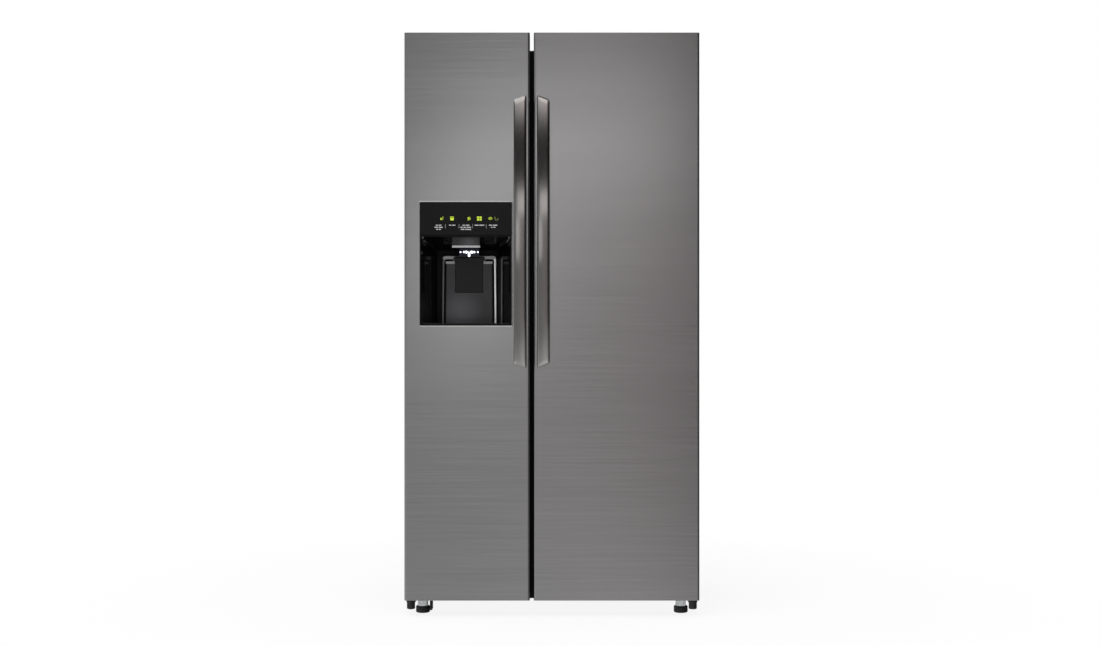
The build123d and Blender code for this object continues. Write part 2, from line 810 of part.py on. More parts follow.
def water_valve():
    """Water inlet valve: threaded inlet stub, body, coil and bracket on the rear cover."""
    cover_y = cabinet_back_y - machine_cover_sheet
    inlet = rod_y(inlet_radius, inlet_x, (cabinet_back_y - inlet_length, cabinet_back_y), inlet_z)
    body_y = cabinet_back_y - inlet_length
    body_top = inlet_z + valve_half
    body_bottom = inlet_z - valve_half
    body_xs = (inlet_x - valve_half, inlet_x + valve_half)
    body = block(body_xs, (body_y - valve_length, body_y), (body_bottom, body_top))
    coil = rod_z(valve_coil_radius, inlet_x, body_y - valve_length / 2,
                 (body_top - join_over, body_top + valve_coil_height))
    bracket_top = inlet_z - inlet_opening - bracket_gap
    bracket_xs = (inlet_x - bracket_half, inlet_x + bracket_half)
    tab = block(bracket_xs, (cover_y - bracket_sheet, cover_y), (bracket_top - bracket_height, bracket_top))
    arm = block(bracket_xs, (body_y - bracket_reach, cover_y), (bracket_top - bracket_sheet, bracket_top))
    neck = block((inlet_x - bracket_neck_half, inlet_x + bracket_neck_half),
                 (body_y - bracket_reach, body_y - bracket_neck_setback),
                 (bracket_top - join_over, body_bottom + join_over))
    return inlet + body + coil + tab + arm + neck


# Feet and rollers
def leveling_leg(side):
    """Screw foot: black pad, white collar and threaded stud in the base."""
    x = side * foot_x
    pad = rod_z(foot_radius, x, foot_y, (0, foot_height))
    pad = fillet(pad.edges().filter_by(GeomType.CIRCLE), foot_round)
    collar = rod_z(collar_radius, x, foot_y, (foot_height - join_over, cabinet_bottom - assembly_gap))
    stud = rod_z(stud_radius, x, foot_y, (foot_height, cabinet_bottom + stud_length))
    return pad + collar + stud


def rear_roller(side):
    """Rear roller and its axle."""
    x = side * (half_width - roller_inset)
    wheel = rod_x(roller_radius, (x - roller_width / 2, x + roller_width / 2), roller_y, roller_radius)
    wheel = fillet(wheel.edges().filter_by(GeomType.CIRCLE), roller_round)
    axle_reach = roller_width / 2 + assembly_gap + roller_ear
    return wheel + rod_x(roller_axle_radius, (x - axle_reach, x + axle_reach), roller_y, roller_radius)


# Hinges
def hinge_outline(side, nose, foot_grow):
    """Flat outline of the upper hinge: round nose over the pin, arm and wide foot on the cabinet."""
    x = hinge_x(side)
    foot_front = cabinet_front_y + hinge_foot_margin - foot_grow
    foot_back = cabinet_front_y + hinge_foot_margin + hinge_foot_length + foot_grow
    foot_outer = half_width - hinge_foot_margin + foot_grow
    foot_inner = half_width - hinge_foot_margin - hinge_foot_width - foot_grow
    nose_face = Pos(x, hinge_y) * Circle(nose)
    arm_length = foot_front + join_over - hinge_y
    arm = Pos(x, hinge_y + arm_length / 2) * Rectangle(2 * nose, arm_length)
    foot_middle = side * (foot_outer + foot_inner) / 2
    foot = Pos(foot_middle, (foot_front + foot_back) / 2)
    foot *= Rectangle(foot_outer - foot_inner, foot_back - foot_front)
    return nose_face + arm + foot


def top_hinge(side):
    """Upper hinge plate with its pin."""
    plate = extrude(Plane.XY.offset(cabinet_top) * hinge_outline(side, hinge_arm_half, 0), amount=hinge_plate)
    pin_zs = (notch_floor - hinge_pin_length, cabinet_top + hinge_plate)
    return plate + rod_z(hinge_pin_radius, hinge_x(side), hinge_y, pin_zs)


def hinge_cover(side):
    """Plastic cap over the upper hinge."""
    outer = hinge_outline(side, hinge_cover_half, hinge_cover_margin)
    inner = hinge_outline(side, hinge_cover_half - hinge_cover_wall, hinge_cover_margin - hinge_cover_wall)
    shell = extrude(Plane.XY.offset(cabinet_top) * outer, amount=hinge_cover_height)
    shell = fillet(shell.faces().sort_by(Axis.Z)[-1].edges(), hinge_cover_wall)
    inside_height = hinge_cover_height - 2 * hinge_cover_wall + cut_over
    return shell - extrude(Plane.XY.offset(cabinet_top - cut_over) * inner, amount=inside_height)


def bottom_hinge(side):
    """Lower hinge plate under the cabinet with hub, thrust collar and pin."""
    x = hinge_x(side)
    half = lower_hinge_width / 2
    plate_zs = (cabinet_bottom - hinge_plate, cabinet_bottom)
    plate = block((x - half, x + half), (hinge_y, hinge_y + lower_hinge_length), plate_zs)
    plate += rod_z(half, x, hinge_y, plate_zs)
    hub = rod_z(lower_hub_radius, x, hinge_y, (lower_hub_bottom, cabinet_bottom - join_over))
    hub = fillet(hub.edges().filter_by(GeomType.CIRCLE).sort_by(Axis.Z)[0], lower_hub_radius * soft_round)
    collar = rod_z(lower_collar_radius, x, hinge_y, (cabinet_bottom - join_over, door_bottom - assembly_gap))
    pin = rod_z(lower_pin_radius, x, hinge_y, (cabinet_bottom, door_bottom + lower_pin_length))
    return plate + hub + collar + pin


# Doors
def door_core(side, inset, back_y, zs):
    """Space inside a door's folded skin, drawn in by an inset."""
    hinge_edge, latch_edge = door_edges(side)
    xs = (hinge_edge - side * (door_skin + inset), latch_edge + side * (door_skin + inset))
    core = block(xs, (door_front_y + door_skin + inset, back_y), zs)
    return fillet(core.edges().filter_by(Axis.Z).group_by(Axis.Y)[0], door_corner - door_skin - inset)


def hinge_notch(side, grow, zs):
    """Room for the upper hinge in the door's top rear corner, round about the pin."""
    reach = notch_radius + grow
    xs = (side * (half_width + cut_over), hinge_x(side) - side * reach)
    notch = block(xs, (hinge_y - reach, door_back_y + cut_over), zs)
    front_edges = notch.edges().filter_by(Axis.Z).group_by(Axis.Y)[0].sort_by(Axis.X)
    return fillet(front_edges[-1 if side < 0 else 0], reach)


def window(ys, grow):
    """Block through the dispenser's opening in the freezer door."""
    return block((dispenser_left - grow, dispenser_right + grow), ys,
                 (dispenser_bottom - grow, dispenser_top + grow))


def door_skin_sheet(side):
    """Brushed steel skin folded round the front and both edges of a door."""
    zs = (door_bottom, height)
    over_zs = (door_bottom - cut_over, height + cut_over)
    skin = door_core(side, -door_skin, door_back_y, zs) - door_core(side, 0, door_back_y + cut_over, over_zs)
    skin -= hinge_notch(side, 0, (notch_floor, height + cut_over))
    if side < 0:
        trim_ys = (door_front_y, door_front_y + dispenser_trim_depth)
        skin += window(trim_ys, dispenser_trim)
        skin -= window((door_front_y - cut_over, door_front_y + dispenser_trim_depth + cut_over), 0)
        lip = skin.edges().filter_by(on_window_lip)
        skin = fillet(lip, dispenser_trim_round)
    return skin


def on_window_lip(edge):
    """True for the four front edges of the dispenser's opening."""
    box = edge.bounding_box()
    flat = max(abs(box.min.Y - door_front_y), abs(box.max.Y - door_front_y)) < edge_tolerance
    across = dispenser_left - edge_tolerance < box.min.X and box.max.X < dispenser_right + edge_tolerance
    upright = dispenser_bottom - edge_tolerance < box.min.Z and box.max.Z < dispenser_top + edge_tolerance
    return flat and across and upright


def upper_lining(side, grow):
    """Outside of the moulded pocket and pin bearing in a door's top cap."""
    zs = (notch_floor - hinge_pin_length - bearing_wall - grow, height + cut_over)
    return hinge_notch(side, notch_lining + grow, zs)


def lower_bearing(side, grow):
    """Outside of the pin bearing in a door's bottom cap."""
    top = door_bottom + lower_pin_length + bearing_wall + grow
    return rod_z(lower_pin_radius + bearing_wall + grow, hinge_x(side), hinge_y, (door_bottom, top))


def top_cap(side):
    """Moulded top end of a door with the pocket and bearing for the upper hinge."""
    plug = door_core(side, 0, door_back_y, (height - cap_height, height))
    lining = upper_lining(side, 0) & door_core(side, 0, door_back_y, (door_bottom, height))
    bore_zs = (notch_floor - hinge_pin_length - assembly_gap, height)
    bore = rod_z(hinge_pin_radius + running_fit, hinge_x(side), hinge_y, bore_zs)
    return plug + lining - hinge_notch(side, 0, (notch_floor, height + cut_over)) - bore


def bottom_cap(side):
    """Moulded bottom end of a door with the bearing for the lower hinge pin."""
    plug = door_core(side, 0, door_back_y, (door_bottom, door_bottom + cap_height))
    bearing = lower_bearing(side, 0) & door_core(side, 0, door_back_y, (door_bottom, height))
    bore_zs = (door_bottom - cut_over, door_bottom + lower_pin_length + assembly_gap)
    bore = rod_z(lower_pin_radius + running_fit, hinge_x(side), hinge_y, bore_zs)
    return plug + bearing - bore


def door_caps(side):
    """Both moulded ends of a door."""
    return group([top_cap(side), bottom_cap(side)])


def bulge_box(inset, front_y):
    """Rear swelling of the freezer door's liner behind the dispenser."""
    xs = (dispenser_x - bulge_half + inset, dispenser_x + bulge_half - inset)
    zs = (dispenser_bottom - bulge_margin + inset, collar_top + bulge_margin - inset)
    return block(xs, (front_y, bulge_y - inset), zs)


def door_liner(side, bin_levels):
    """Formed inner face of a door: flat rim, ridge, lugs for the bins and the dispenser's swelling."""
    hinge_edge, latch_edge = door_edges(side)
    xs = (hinge_edge - side * door_skin, latch_edge + side * door_skin)
    sheet_zs = (door_bottom + cap_height, height - cap_height)
    liner = block(xs, (door_back_y - door_liner_sheet, door_back_y), sheet_zs)
    liner -= upper_lining(side, 0)
    dyke_zs = (compartment_floor + dyke_margin, ceiling_z - dyke_margin)
    dyke = ring_y(dyke_xs(side), dyke_zs, (door_back_y, dyke_end_y), dyke_width, dyke_margin)
    liner += fillet(dyke.faces().sort_by(Axis.Y)[-1].edges(), dyke_round)
    lug_ys = (door_back_y, door_back_y + bin_lug_length)
    for level in bin_levels:
        for bin_side, inward in zip(bin_xs(side), (-side, side)):
            lug_xs = (bin_side - inward * dyke_width / 2, bin_side + inward * bin_lug_width)
            liner += block(lug_xs, lug_ys, (level - bin_lug_height, level))
    if side < 0:
        liner += bulge_box(0, door_back_y)
        liner -= bulge_box(door_liner_sheet, door_back_y - cut_over)
        liner -= chute_form(assembly_gap)
    return liner


def door_foam(side):
    """Insulation inside a door."""
    zs = (door_bottom + cap_height + assembly_gap, height - cap_height - assembly_gap)
    foam = door_core(side, assembly_gap, door_back_y - door_liner_sheet - assembly_gap, zs)
    foam -= upper_lining(side, assembly_gap)
    foam -= lower_bearing(side, assembly_gap)
    if side < 0:
        foam += bulge_box(door_liner_sheet + assembly_gap, door_back_y - door_liner_sheet - join_over)
        foam -= housing_form(assembly_gap)
        foam -= chute_form(assembly_gap)
        foam -= window((door_front_y, door_front_y + dispenser_trim_depth + assembly_gap),
                       dispenser_trim + assembly_gap)
        foam -= control_space()
    return as_largest(foam)


def as_largest(shape):
    """Only the largest solid of a shape."""
    return shape.solids().sort_by(SortBy.VOLUME)[-1]


def door_seal(side):
    """Magnetic seal: narrow foot in the liner's rim and wide cushion against the cabinet."""
    xs = (hinge_x(side), door_edges(side)[1] + side * seal_inset)
    zs = (apron_top - seal_width - mullion_margin, flange_top + seal_width + mullion_margin)
    cushion_ys = (door_back_y + seal_foot_height, cabinet_front_y - assembly_gap)
    cushion = ring_y(xs, zs, cushion_ys, seal_width, seal_width / 2)
    shift = (seal_width - seal_foot_width) / 2
    foot_xs = (min(xs) + shift, max(xs) - shift)
    foot_zs = (min(zs) + shift, max(zs) - shift)
    foot_ys = (door_back_y, door_back_y + seal_foot_height)
    return cushion + ring_y(foot_xs, foot_zs, foot_ys, seal_foot_width, seal_foot_width / 2)


def handle_xs(side):
    """X of a handle's edge by the gap between the doors and of its other edge."""
    gap_edge = door_edges(side)[1] + side * handle_inset
    return gap_edge, gap_edge + side * handle_width


def handle_outline(side, margin):
    """Front outline of a handle: long edge by the gap, sloping ends with rounded shoulders."""
    gap_x, far_x = handle_xs(side)
    gap_x += side * margin
    far_x -= side * margin
    half_long = handle_length / 2 - margin
    half_short = half_long - handle_end_slope
    points = [(gap_x, handle_middle - half_long), (far_x, handle_middle - half_short),
              (far_x, handle_middle + half_short), (gap_x, handle_middle + half_long)]
    face = make_face(Polyline(*points, close=True))
    by_x = face.vertices().sort_by(Axis.X)
    shoulders = by_x[:2] if side < 0 else by_x[2:]
    face = fillet(shoulders, handle_shoulder_round)
    tips = [vertex for vertex in face.vertices() if abs(vertex.X - gap_x) < edge_tolerance]
    return fillet(tips, handle_tip_round)


def handle_bar(side):
    """Bowed bar, nearest to the door at both ends."""
    gap_x, far_x = handle_xs(side)
    middle_y = handle_front_y + handle_thickness / 2
    end_y = door_front_y - handle_end_gap - handle_thickness / 2
    half = handle_length / 2
    bow = Plane.YZ.offset((gap_x + far_x) / 2) * ThreePointArc(
        (end_y, handle_middle - half), (middle_y, handle_middle), (end_y, handle_middle + half))
    section = Plane(origin=bow @ 0, x_dir=(1, 0, 0), z_dir=bow % 0)
    section *= RectangleRounded(handle_width, handle_thickness, handle_edge_round)
    return sweep(section, path=bow)


def door_handle(side):
    """Handle: bowed bar on a post at each end."""
    bar = handle_bar(side)
    outline_ys = (handle_front_y - cut_over, door_front_y)
    trimmed = bar & plate_y(handle_outline(side, 0), outline_ys)
    post_form = plate_y(handle_outline(side, handle_post_margin),
                        (door_front_y - handle_end_gap - handle_thickness / 2, door_front_y))
    half = handle_length / 2
    posts = []
    for end in (-1, 1):
        end_zs = (handle_middle + end * (half - handle_post_length), handle_middle + end * half)
        slice_box = block((-width, width), (handle_front_y, door_front_y), end_zs)
        posts.append(as_nearest(post_form & slice_box - bar))
    return group([trimmed] + posts)


def as_nearest(shape):
    """Only the solid of a shape that lies against the door's front."""
    return shape.solids().sort_by(Axis.Y)[-1]


def door_bin(side, level, tall):
    """One door bin, resting on its lugs between the ridges."""
    xs = bin_xs(side)
    return open_tub(xs, (door_back_y, bin_front_y), (level, level + tall), bin_wall, bin_round)


def door_bins(side, levels, tall):
    """All bins of one door."""
    return group([door_bin(side, level, tall) for level in levels])


# Ice and water dispenser
def recess_form(grow):
    """Tapering recess of the dispenser, drawn out by a wall."""
    front_top = fascia_bottom
    front_width = dispenser_width - 2 * recess_rim
    front_middle = (recess_floor + front_top) / 2
    back_top = fascia_bottom - recess_back_drop
    back_middle = (recess_floor + back_top) / 2
    corner = recess_corner + grow
    front = RectangleRounded(front_width + 2 * grow, front_top - recess_floor + 2 * grow, corner)
    back = RectangleRounded(recess_back_width + 2 * grow, back_top - recess_floor + 2 * grow, corner)
    front_face = Plane.XZ.offset(-door_front_y) * Pos(dispenser_x, front_middle) * front
    back_face = Plane.XZ.offset(-(recess_back_y + grow)) * Pos(dispenser_x, back_middle) * back
    return loft([front_face, back_face])


def paddle_pocket(grow):
    """Pocket behind the paddle, deep enough for its swing."""
    half = paddle_width / 2 + paddle_gap + grow
    zs = (paddle_z - paddle_height - paddle_gap - grow, paddle_z + paddle_gap + grow)
    return block((pad_x - half, pad_x + half), (pad_face_y - cut_over, pocket_back_y + grow), zs)


def chute_form(grow):
    """Outside of the ice chute: upright shaft and the collar through the door."""
    half = chute_width / 2 + grow
    outline = [(chute_front_y - grow, chute_bottom - grow), (chute_back_y + grow, chute_bottom - grow),
               (chute_back_y + grow, collar_bottom - grow), (collar_end_y + grow, collar_bottom - grow),
               (collar_end_y + grow, collar_top + grow), (chute_front_y - grow, collar_top + grow)]
    return prism_x(outline, (dispenser_x - half, dispenser_x + half))


def control_space():
    """Shallow room behind the fascia."""
    back_y = door_front_y + fascia_thickness + chute_gap + door_liner_sheet + assembly_gap
    return block((dispenser_left, dispenser_right), (door_front_y, back_y), (fascia_bottom, dispenser_top))


def housing_form(grow):
    """Outside of the dispenser's moulded housing."""
    pocket = paddle_pocket(recess_wall + grow)
    behind = block((-width, width), (recess_back_y, cabinet_back_y), (0, height))
    return recess_form(recess_wall + grow) + (pocket & behind)


def pad_outline(half, top):
    """Front outline of the pad or of its rim: narrower at the top, with rounded upper corners."""
    high_half = half - pad_taper / 2
    outline = make_face(Polyline((pad_x - half, recess_floor), (pad_x + half, recess_floor),
                                 (pad_x + high_half, top), (pad_x - high_half, top), close=True))
    return fillet(outline.vertices().group_by(Axis.Z)[-1], pad_corner)


def soft_front(plate, radius):
    """Rounds the front edges of an upright plate, apart from the lowest."""
    front_edges = plate.faces().sort_by(Axis.Y)[0].edges().sort_by(Axis.Z)[1:]
    return fillet(front_edges, radius)


def dispenser_pad():
    """Raised pad at the back of the recess, with a rim round its sides and top."""
    root_y = recess_back_y + recess_wall / 2
    pad = plate_y(pad_outline(pad_width / 2, pad_top), (pad_face_y, root_y))
    rim_y = pad_face_y + pad_rim_step
    rim_half = pad_width / 2 + pad_rim_gap + pad_rim_wall
    rim = plate_y(pad_outline(rim_half, pad_rim_top), (rim_y, root_y))
    inside = pad_outline(rim_half - pad_rim_wall, pad_rim_top - pad_rim_bar)
    rim = soft_front(rim, pad_rim_round) - plate_y(inside, (rim_y - cut_over, recess_back_y))
    return soft_front(pad, pad_round) + rim


def dispenser_housing():
    """Moulded dispenser housing: recess, pad and paddle pocket."""
    pin_reach = paddle_width / 2 + paddle_gap + paddle_pin_length
    collar_half = paddle_width / 2 + paddle_gap + recess_wall
    frame = block((pad_x - collar_half, pad_x + collar_half), (pad_face_y, recess_back_y + recess_wall / 2),
                  (pad_top - pad_round, pad_rim_top))
    ear_half = pin_reach + recess_wall / 2
    ear_zs = (paddle_pin_z - paddle_pin_radius - recess_wall, paddle_pin_z + paddle_pin_radius + recess_wall)
    ears = block((pad_x - ear_half, pad_x + ear_half), (pad_face_y, recess_back_y + recess_wall / 2), ear_zs)
    housing = housing_form(0) - recess_form(0) + dispenser_pad() + frame + ears
    housing -= paddle_pocket(0)
    pin_bore = paddle_pin_radius + running_fit
    housing -= rod_x(pin_bore, (pad_x - pin_reach, pad_x + pin_reach), paddle_pin_y, paddle_pin_z)
    slot_zs = (paddle_pin_z - pin_bore, paddle_pin_z + pin_bore)
    housing -= block((pad_x - pin_reach, pad_x + pin_reach), (pad_face_y - cut_over, paddle_pin_y), slot_zs)
    housing -= chute_form(assembly_gap)
    board_y = door_front_y + fascia_thickness
    fascia_ys = (door_front_y - cut_over, board_y)
    housing -= block((dispenser_left, dispenser_right), fascia_ys, (fascia_bottom, dispenser_top))
    inside_xs = (dispenser_left + assembly_gap, dispenser_right - assembly_gap)
    board_zs = (fascia_bottom - recess_wall / 2, dispenser_top - assembly_gap)
    board = block(inside_xs, (board_y, board_y + door_liner_sheet), board_zs)
    window_box = block(inside_xs, (door_front_y, pocket_back_y + recess_wall + cut_over),
                       (dispenser_bottom + assembly_gap, dispenser_top))
    return as_largest((housing & window_box) + (board - chute_form(assembly_gap) - recess_form(0)))


def button_x(index):
    """X of one button's middle."""
    return dispenser_x + (index - (button_count - 1) / 2) * button_pitch


def button_zs(margin):
    """Z of a button's lower and upper edges."""
    low = fascia_bottom + button_rise
    return low - margin, low + button_height + margin


def dispenser_fascia():
    """Gloss control panel over the recess, with an opening for each button."""
    panel = block((dispenser_left + assembly_gap, dispenser_right - assembly_gap),
                  (door_front_y - fascia_proud, door_front_y + fascia_thickness),
                  (fascia_bottom, dispenser_top - assembly_gap))
    front = panel.faces().sort_by(Axis.Y)[0].edges()
    panel = chamfer(front.sort_by(Axis.Z)[0], fascia_bevel)
    front = panel.faces().filter_by(Axis.Y).sort_by(Axis.Y)[0].edges().sort_by(Axis.Z)[-1]
    panel = fillet(front, fascia_proud)
    through = (door_front_y - cut_over, door_front_y + fascia_thickness + cut_over)
    for index in range(button_count):
        half = button_width / 2 + assembly_gap
        panel -= block((button_x(index) - half, button_x(index) + half), through, button_zs(assembly_gap))
    return panel


def control_button(index):
    """One push key of the control panel."""
    half = button_width / 2
    key_ys = (door_front_y - fascia_proud, door_front_y - fascia_proud + button_depth)
    return block((button_x(index) - half, button_x(index) + half), key_ys, button_zs(0))


def ice_chute():
    """Ice chute with the bearings of its flap."""
    half = chute_width / 2 - chute_wall
    front_y = chute_front_y + chute_wall
    back_y = chute_back_y - chute_wall
    low_z = collar_bottom + chute_wall
    top_z = collar_top - chute_wall
    inner = [(front_y, chute_bottom - cut_over), (back_y, chute_bottom - cut_over), (back_y, low_z),
             (collar_end_y + cut_over, low_z), (collar_end_y + cut_over, top_z), (front_y, top_z)]
    chute = chute_form(0) - prism_x(inner, (dispenser_x - half, dispenser_x + half))
    bore_half = chute_width / 2 + cut_over
    bore_xs = (dispenser_x - bore_half, dispenser_x + bore_half)
    return chute - rod_x(flap_pin_radius + running_fit, bore_xs, flap_pin_y, flap_pin_z)


def ice_flap():
    """Hanging flap that shuts the chute, on its pivot rod."""
    half = chute_width / 2 - chute_wall - flap_side_gap
    plate_ys = (flap_pin_y - flap_thickness / 2, flap_pin_y + flap_thickness / 2)
    plate = block((dispenser_x - half, dispenser_x + half), plate_ys, (flap_pin_z - flap_length, flap_pin_z))
    rod_xs = (dispenser_x - chute_width / 2, dispenser_x + chute_width / 2)
    return plate + rod_x(flap_pin_radius, rod_xs, flap_pin_y, flap_pin_z)


def dispenser_paddle():
    """Push paddle with its two pivot pins."""
    half = paddle_width / 2
    plate = block((pad_x - half, pad_x + half), (paddle_front_y, paddle_front_y + paddle_thickness),
                  (paddle_z - paddle_height, paddle_z))
    plate = fillet(plate.edges().filter_by(Axis.X).group_by(Axis.Z)[-1], paddle_thickness * full_round)
    plate = fillet(plate.edges().filter_by(Axis.Y).group_by(Axis.Z)[0], paddle_thickness)
    reach = half + paddle_gap + paddle_pin_length - assembly_gap
    return plate + rod_x(paddle_pin_radius, (pad_x - reach, pad_x + reach), paddle_pin_y, paddle_pin_z)


def dispenser_lamp():
    """Lamp bar under the recess's ceiling, behind the chute."""
    bar_ys = (chute_back_y + lamp_bar_back, chute_back_y + lamp_bar_back + lamp_bar_depth)
    bar = block((pad_x - lamp_bar_half, pad_x + lamp_bar_half), bar_ys,
                (lamp_bar_bottom, fascia_bottom))
    return bar & recess_form(0)


def water_spout():
    """Water spout between chute and lamp."""
    spout_y = chute_back_y + lamp_bar_back / 2
    tube = rod_z(spout_radius, pad_x, spout_y, (lamp_bar_bottom - spout_radius, fascia_bottom))
    return tube & recess_form(0)


def drip_tray():
    """Slotted drip tray on the recess's floor."""
    tray_ys = (door_front_y + recess_rim, pad_face_y - drip_tray_gap)
    tray_zs = (recess_floor, recess_floor + drip_tray_height)
    tray = block((dispenser_left, dispenser_right), tray_ys, tray_zs)
    middle_xs = (dispenser_x - recess_back_width / 2, dispenser_x + recess_back_width / 2)
    tray &= recess_form(-drip_tray_gap) + block(middle_xs, tray_ys, tray_zs)
    slot_ys = (tray_ys[0] + drip_slot_margin, tray_ys[1] - drip_slot_margin)
    slot_zs = (recess_floor + drip_tray_height / 2, recess_floor + drip_tray_height + cut_over)
    slots = []
    for index in range(drip_slot_count):
        x = dispenser_x + (index - (drip_slot_count - 1) / 2) * drip_slot_pitch
        slots.append(block((x - drip_slot_width / 2, x + drip_slot_width / 2), slot_ys, slot_zs))
    return tray - slots


# Compartment fittings
def glass_shelf(side, level, back_y):
    """Glass shelf with its front trim, on the liner's rails."""
    hinge_wall, latch_wall = compartment_walls(side)
    xs = (hinge_wall - side * shelf_side_gap, latch_wall + side * shelf_side_gap)
    glass = block(xs, (shelf_front_y, back_y), (level, level + shelf_glass))
    trim_low = level + shelf_glass - shelf_trim_height / 2
    trim = block(xs, (shelf_front_y - shelf_trim_depth / 2, shelf_front_y + shelf_trim_depth / 2),
                 (trim_low, trim_low + shelf_trim_height))
    trim = rounded(trim, Axis.X, shelf_trim_depth * soft_round)
    return glass + trim


def freezer_shelves():
    """Freezer shelves."""
    return group([glass_shelf(-1, level, shelf_back_y) for level in freezer_shelf_levels])


def fridge_shelves():
    """Refrigerator shelves; the lowest covers the drawers."""
    return group([glass_shelf(1, level, fridge_shelf_back_y) for level in fridge_shelf_levels])


def drawer(side, level, tall, back_y, side_gap):
    """Drawer with a pull along its front edge."""
    hinge_wall, latch_wall = compartment_walls(side)
    xs = (hinge_wall - side * side_gap, latch_wall + side * side_gap)
    tub = open_tub(xs, (shelf_front_y, back_y), (level, level + tall), drawer_wall, drawer_round)
    pull_xs = (min(xs) + 2 * drawer_round, max(xs) - 2 * drawer_round)
    pull = block(pull_xs, (shelf_front_y - drawer_pull_depth, shelf_front_y + drawer_wall / 2),
                 (level + tall - drawer_pull_height, level + tall))
    return tub + fillet(pull.edges().filter_by(Axis.X).group_by(Axis.Y)[0], drawer_pull_height * soft_round)


def drawers(side, upper_back_y):
    """Lower drawer on the floor in front of the step and upper drawer on its rails."""
    lower_back_y = step_y - drawer_step_gap
    lower = drawer(side, compartment_floor, lower_drawer_height, lower_back_y, liner_round + assembly_gap)
    upper = drawer(side, upper_drawer_level, upper_drawer_height, upper_back_y, drawer_side_gap)
    return group([lower, upper])


def freezer_drawers():
    """Both freezer drawers."""
    return drawers(-1, shelf_back_y)


def crisper_drawers():
    """Both refrigerator drawers."""
    return drawers(1, fridge_shelf_back_y)


def evaporator_cover():
    """Panel in front of the evaporator with air slots."""
    left, right = sorted(compartment_walls(-1))
    panel = block((left + assembly_gap, right - assembly_gap), (evaporator_cover_y, evaporator_back_y),
                  (step_z, ice_tray_level + ice_drive_height))
    panel = fillet(panel.edges().filter_by(Axis.Y).group_by(Axis.Z)[0], liner_round)
    cut_ys = (evaporator_cover_y - cut_over, evaporator_back_y + cut_over)
    slot_xs = (freezer_middle() - fan_radius, freezer_middle() + fan_radius)
    slots = []
    for lowest in (step_z + lower_slots_rise, cooler_fan_z - upper_slots_drop):
        for row in range(air_slot_rows):
            low = lowest + row * air_slot_pitch
            slots.append(rounded(block(slot_xs, cut_ys, (low, low + air_slot_height)), Axis.Y, air_slot_round))
    return panel - slots


def freezer_middle():
    """X halfway across the freezer compartment."""
    return sum(compartment_walls(-1)) / 2


def evaporator():
    """Finned evaporator coil and the motor of its fan, both on the rear wall."""
    left, right = sorted(compartment_walls(-1))
    coil_left = left + evaporator_margin
    coil_right = right - evaporator_margin
    coil_y = (evaporator_back_y + compartment_back_y) / 2
    points = []
    ends = (coil_left, coil_right)
    for row in range(evaporator_passes):
        z = evaporator_bottom + row * evaporator_pitch
        points.append((ends[row % 2], coil_y, z))
        points.append((ends[1 - row % 2], coil_y, z))
    path = FilletPolyline(*points, radius=evaporator_pitch * full_round)
    coil = sweep(Plane(origin=path @ 0, z_dir=path % 0) * Circle(evaporator_tube), path=path)
    fin_zs = (evaporator_bottom - evaporator_pitch / 2,
              evaporator_bottom + (evaporator_passes - 0.5) * evaporator_pitch)
    fin_ys = (evaporator_back_y + assembly_gap, compartment_back_y - assembly_gap)
    fin_left = coil_left + evaporator_pitch
    fin_pitch = (coil_right - coil_left - 2 * evaporator_pitch) / (evaporator_fins - 1)
    for index in range(evaporator_fins):
        x = fin_left + index * fin_pitch
        coil += block((x - evaporator_fin / 2, x + evaporator_fin / 2), fin_ys, fin_zs)
    motor_y = compartment_back_y - fan_motor_length - assembly_gap
    motor = Pos(freezer_middle(), motor_y, cooler_fan_z) * fan_motor()
    return group([coil, motor])


def evaporator_fan():
    """Fan that blows the cold air."""
    fan_y = compartment_back_y - fan_motor_length - fan_hub_length / 2 - 2 * assembly_gap
    return Pos(freezer_middle(), fan_y, cooler_fan_z) * fan(fan_shaft_radius + running_fit)


def air_duct():
    """Air tower on the refrigerator's rear wall with vents."""
    middle = sum(compartment_walls(1)) / 2
    half = air_duct_width / 2
    front_y = compartment_back_y - air_duct_depth
    tower = block((middle - half, middle + half), (front_y, compartment_back_y),
                  (air_duct_bottom, air_duct_top))
    tower = fillet(tower.faces().sort_by(Axis.Y)[0].edges(), air_duct_depth * full_round)
    pitch = (air_duct_top - air_duct_bottom) / air_duct_vents
    for index in range(air_duct_vents):
        low = air_duct_bottom + (index + 0.5) * pitch
        vent_ys = (front_y - cut_over, front_y + air_duct_depth / 2)
        vent = block((middle - half / 2, middle + half / 2), vent_ys, (low, low + air_duct_depth / 2))
        tower -= vent
    return tower


def compartment_lamp(side):
    """Lamp lens under a compartment's ceiling."""
    middle = sum(compartment_walls(side)) / 2
    half = lamp_width / 2
    lens = block((middle - half, middle + half), (shelf_front_y, shelf_front_y + lamp_depth),
                 (ceiling_z - lamp_height, ceiling_z))
    return fillet(lens.faces().sort_by(Axis.Z)[0].edges(), lamp_height * soft_round)


def compartment_lamps():
    """Both compartment lamps."""
    return both_sides(compartment_lamp)


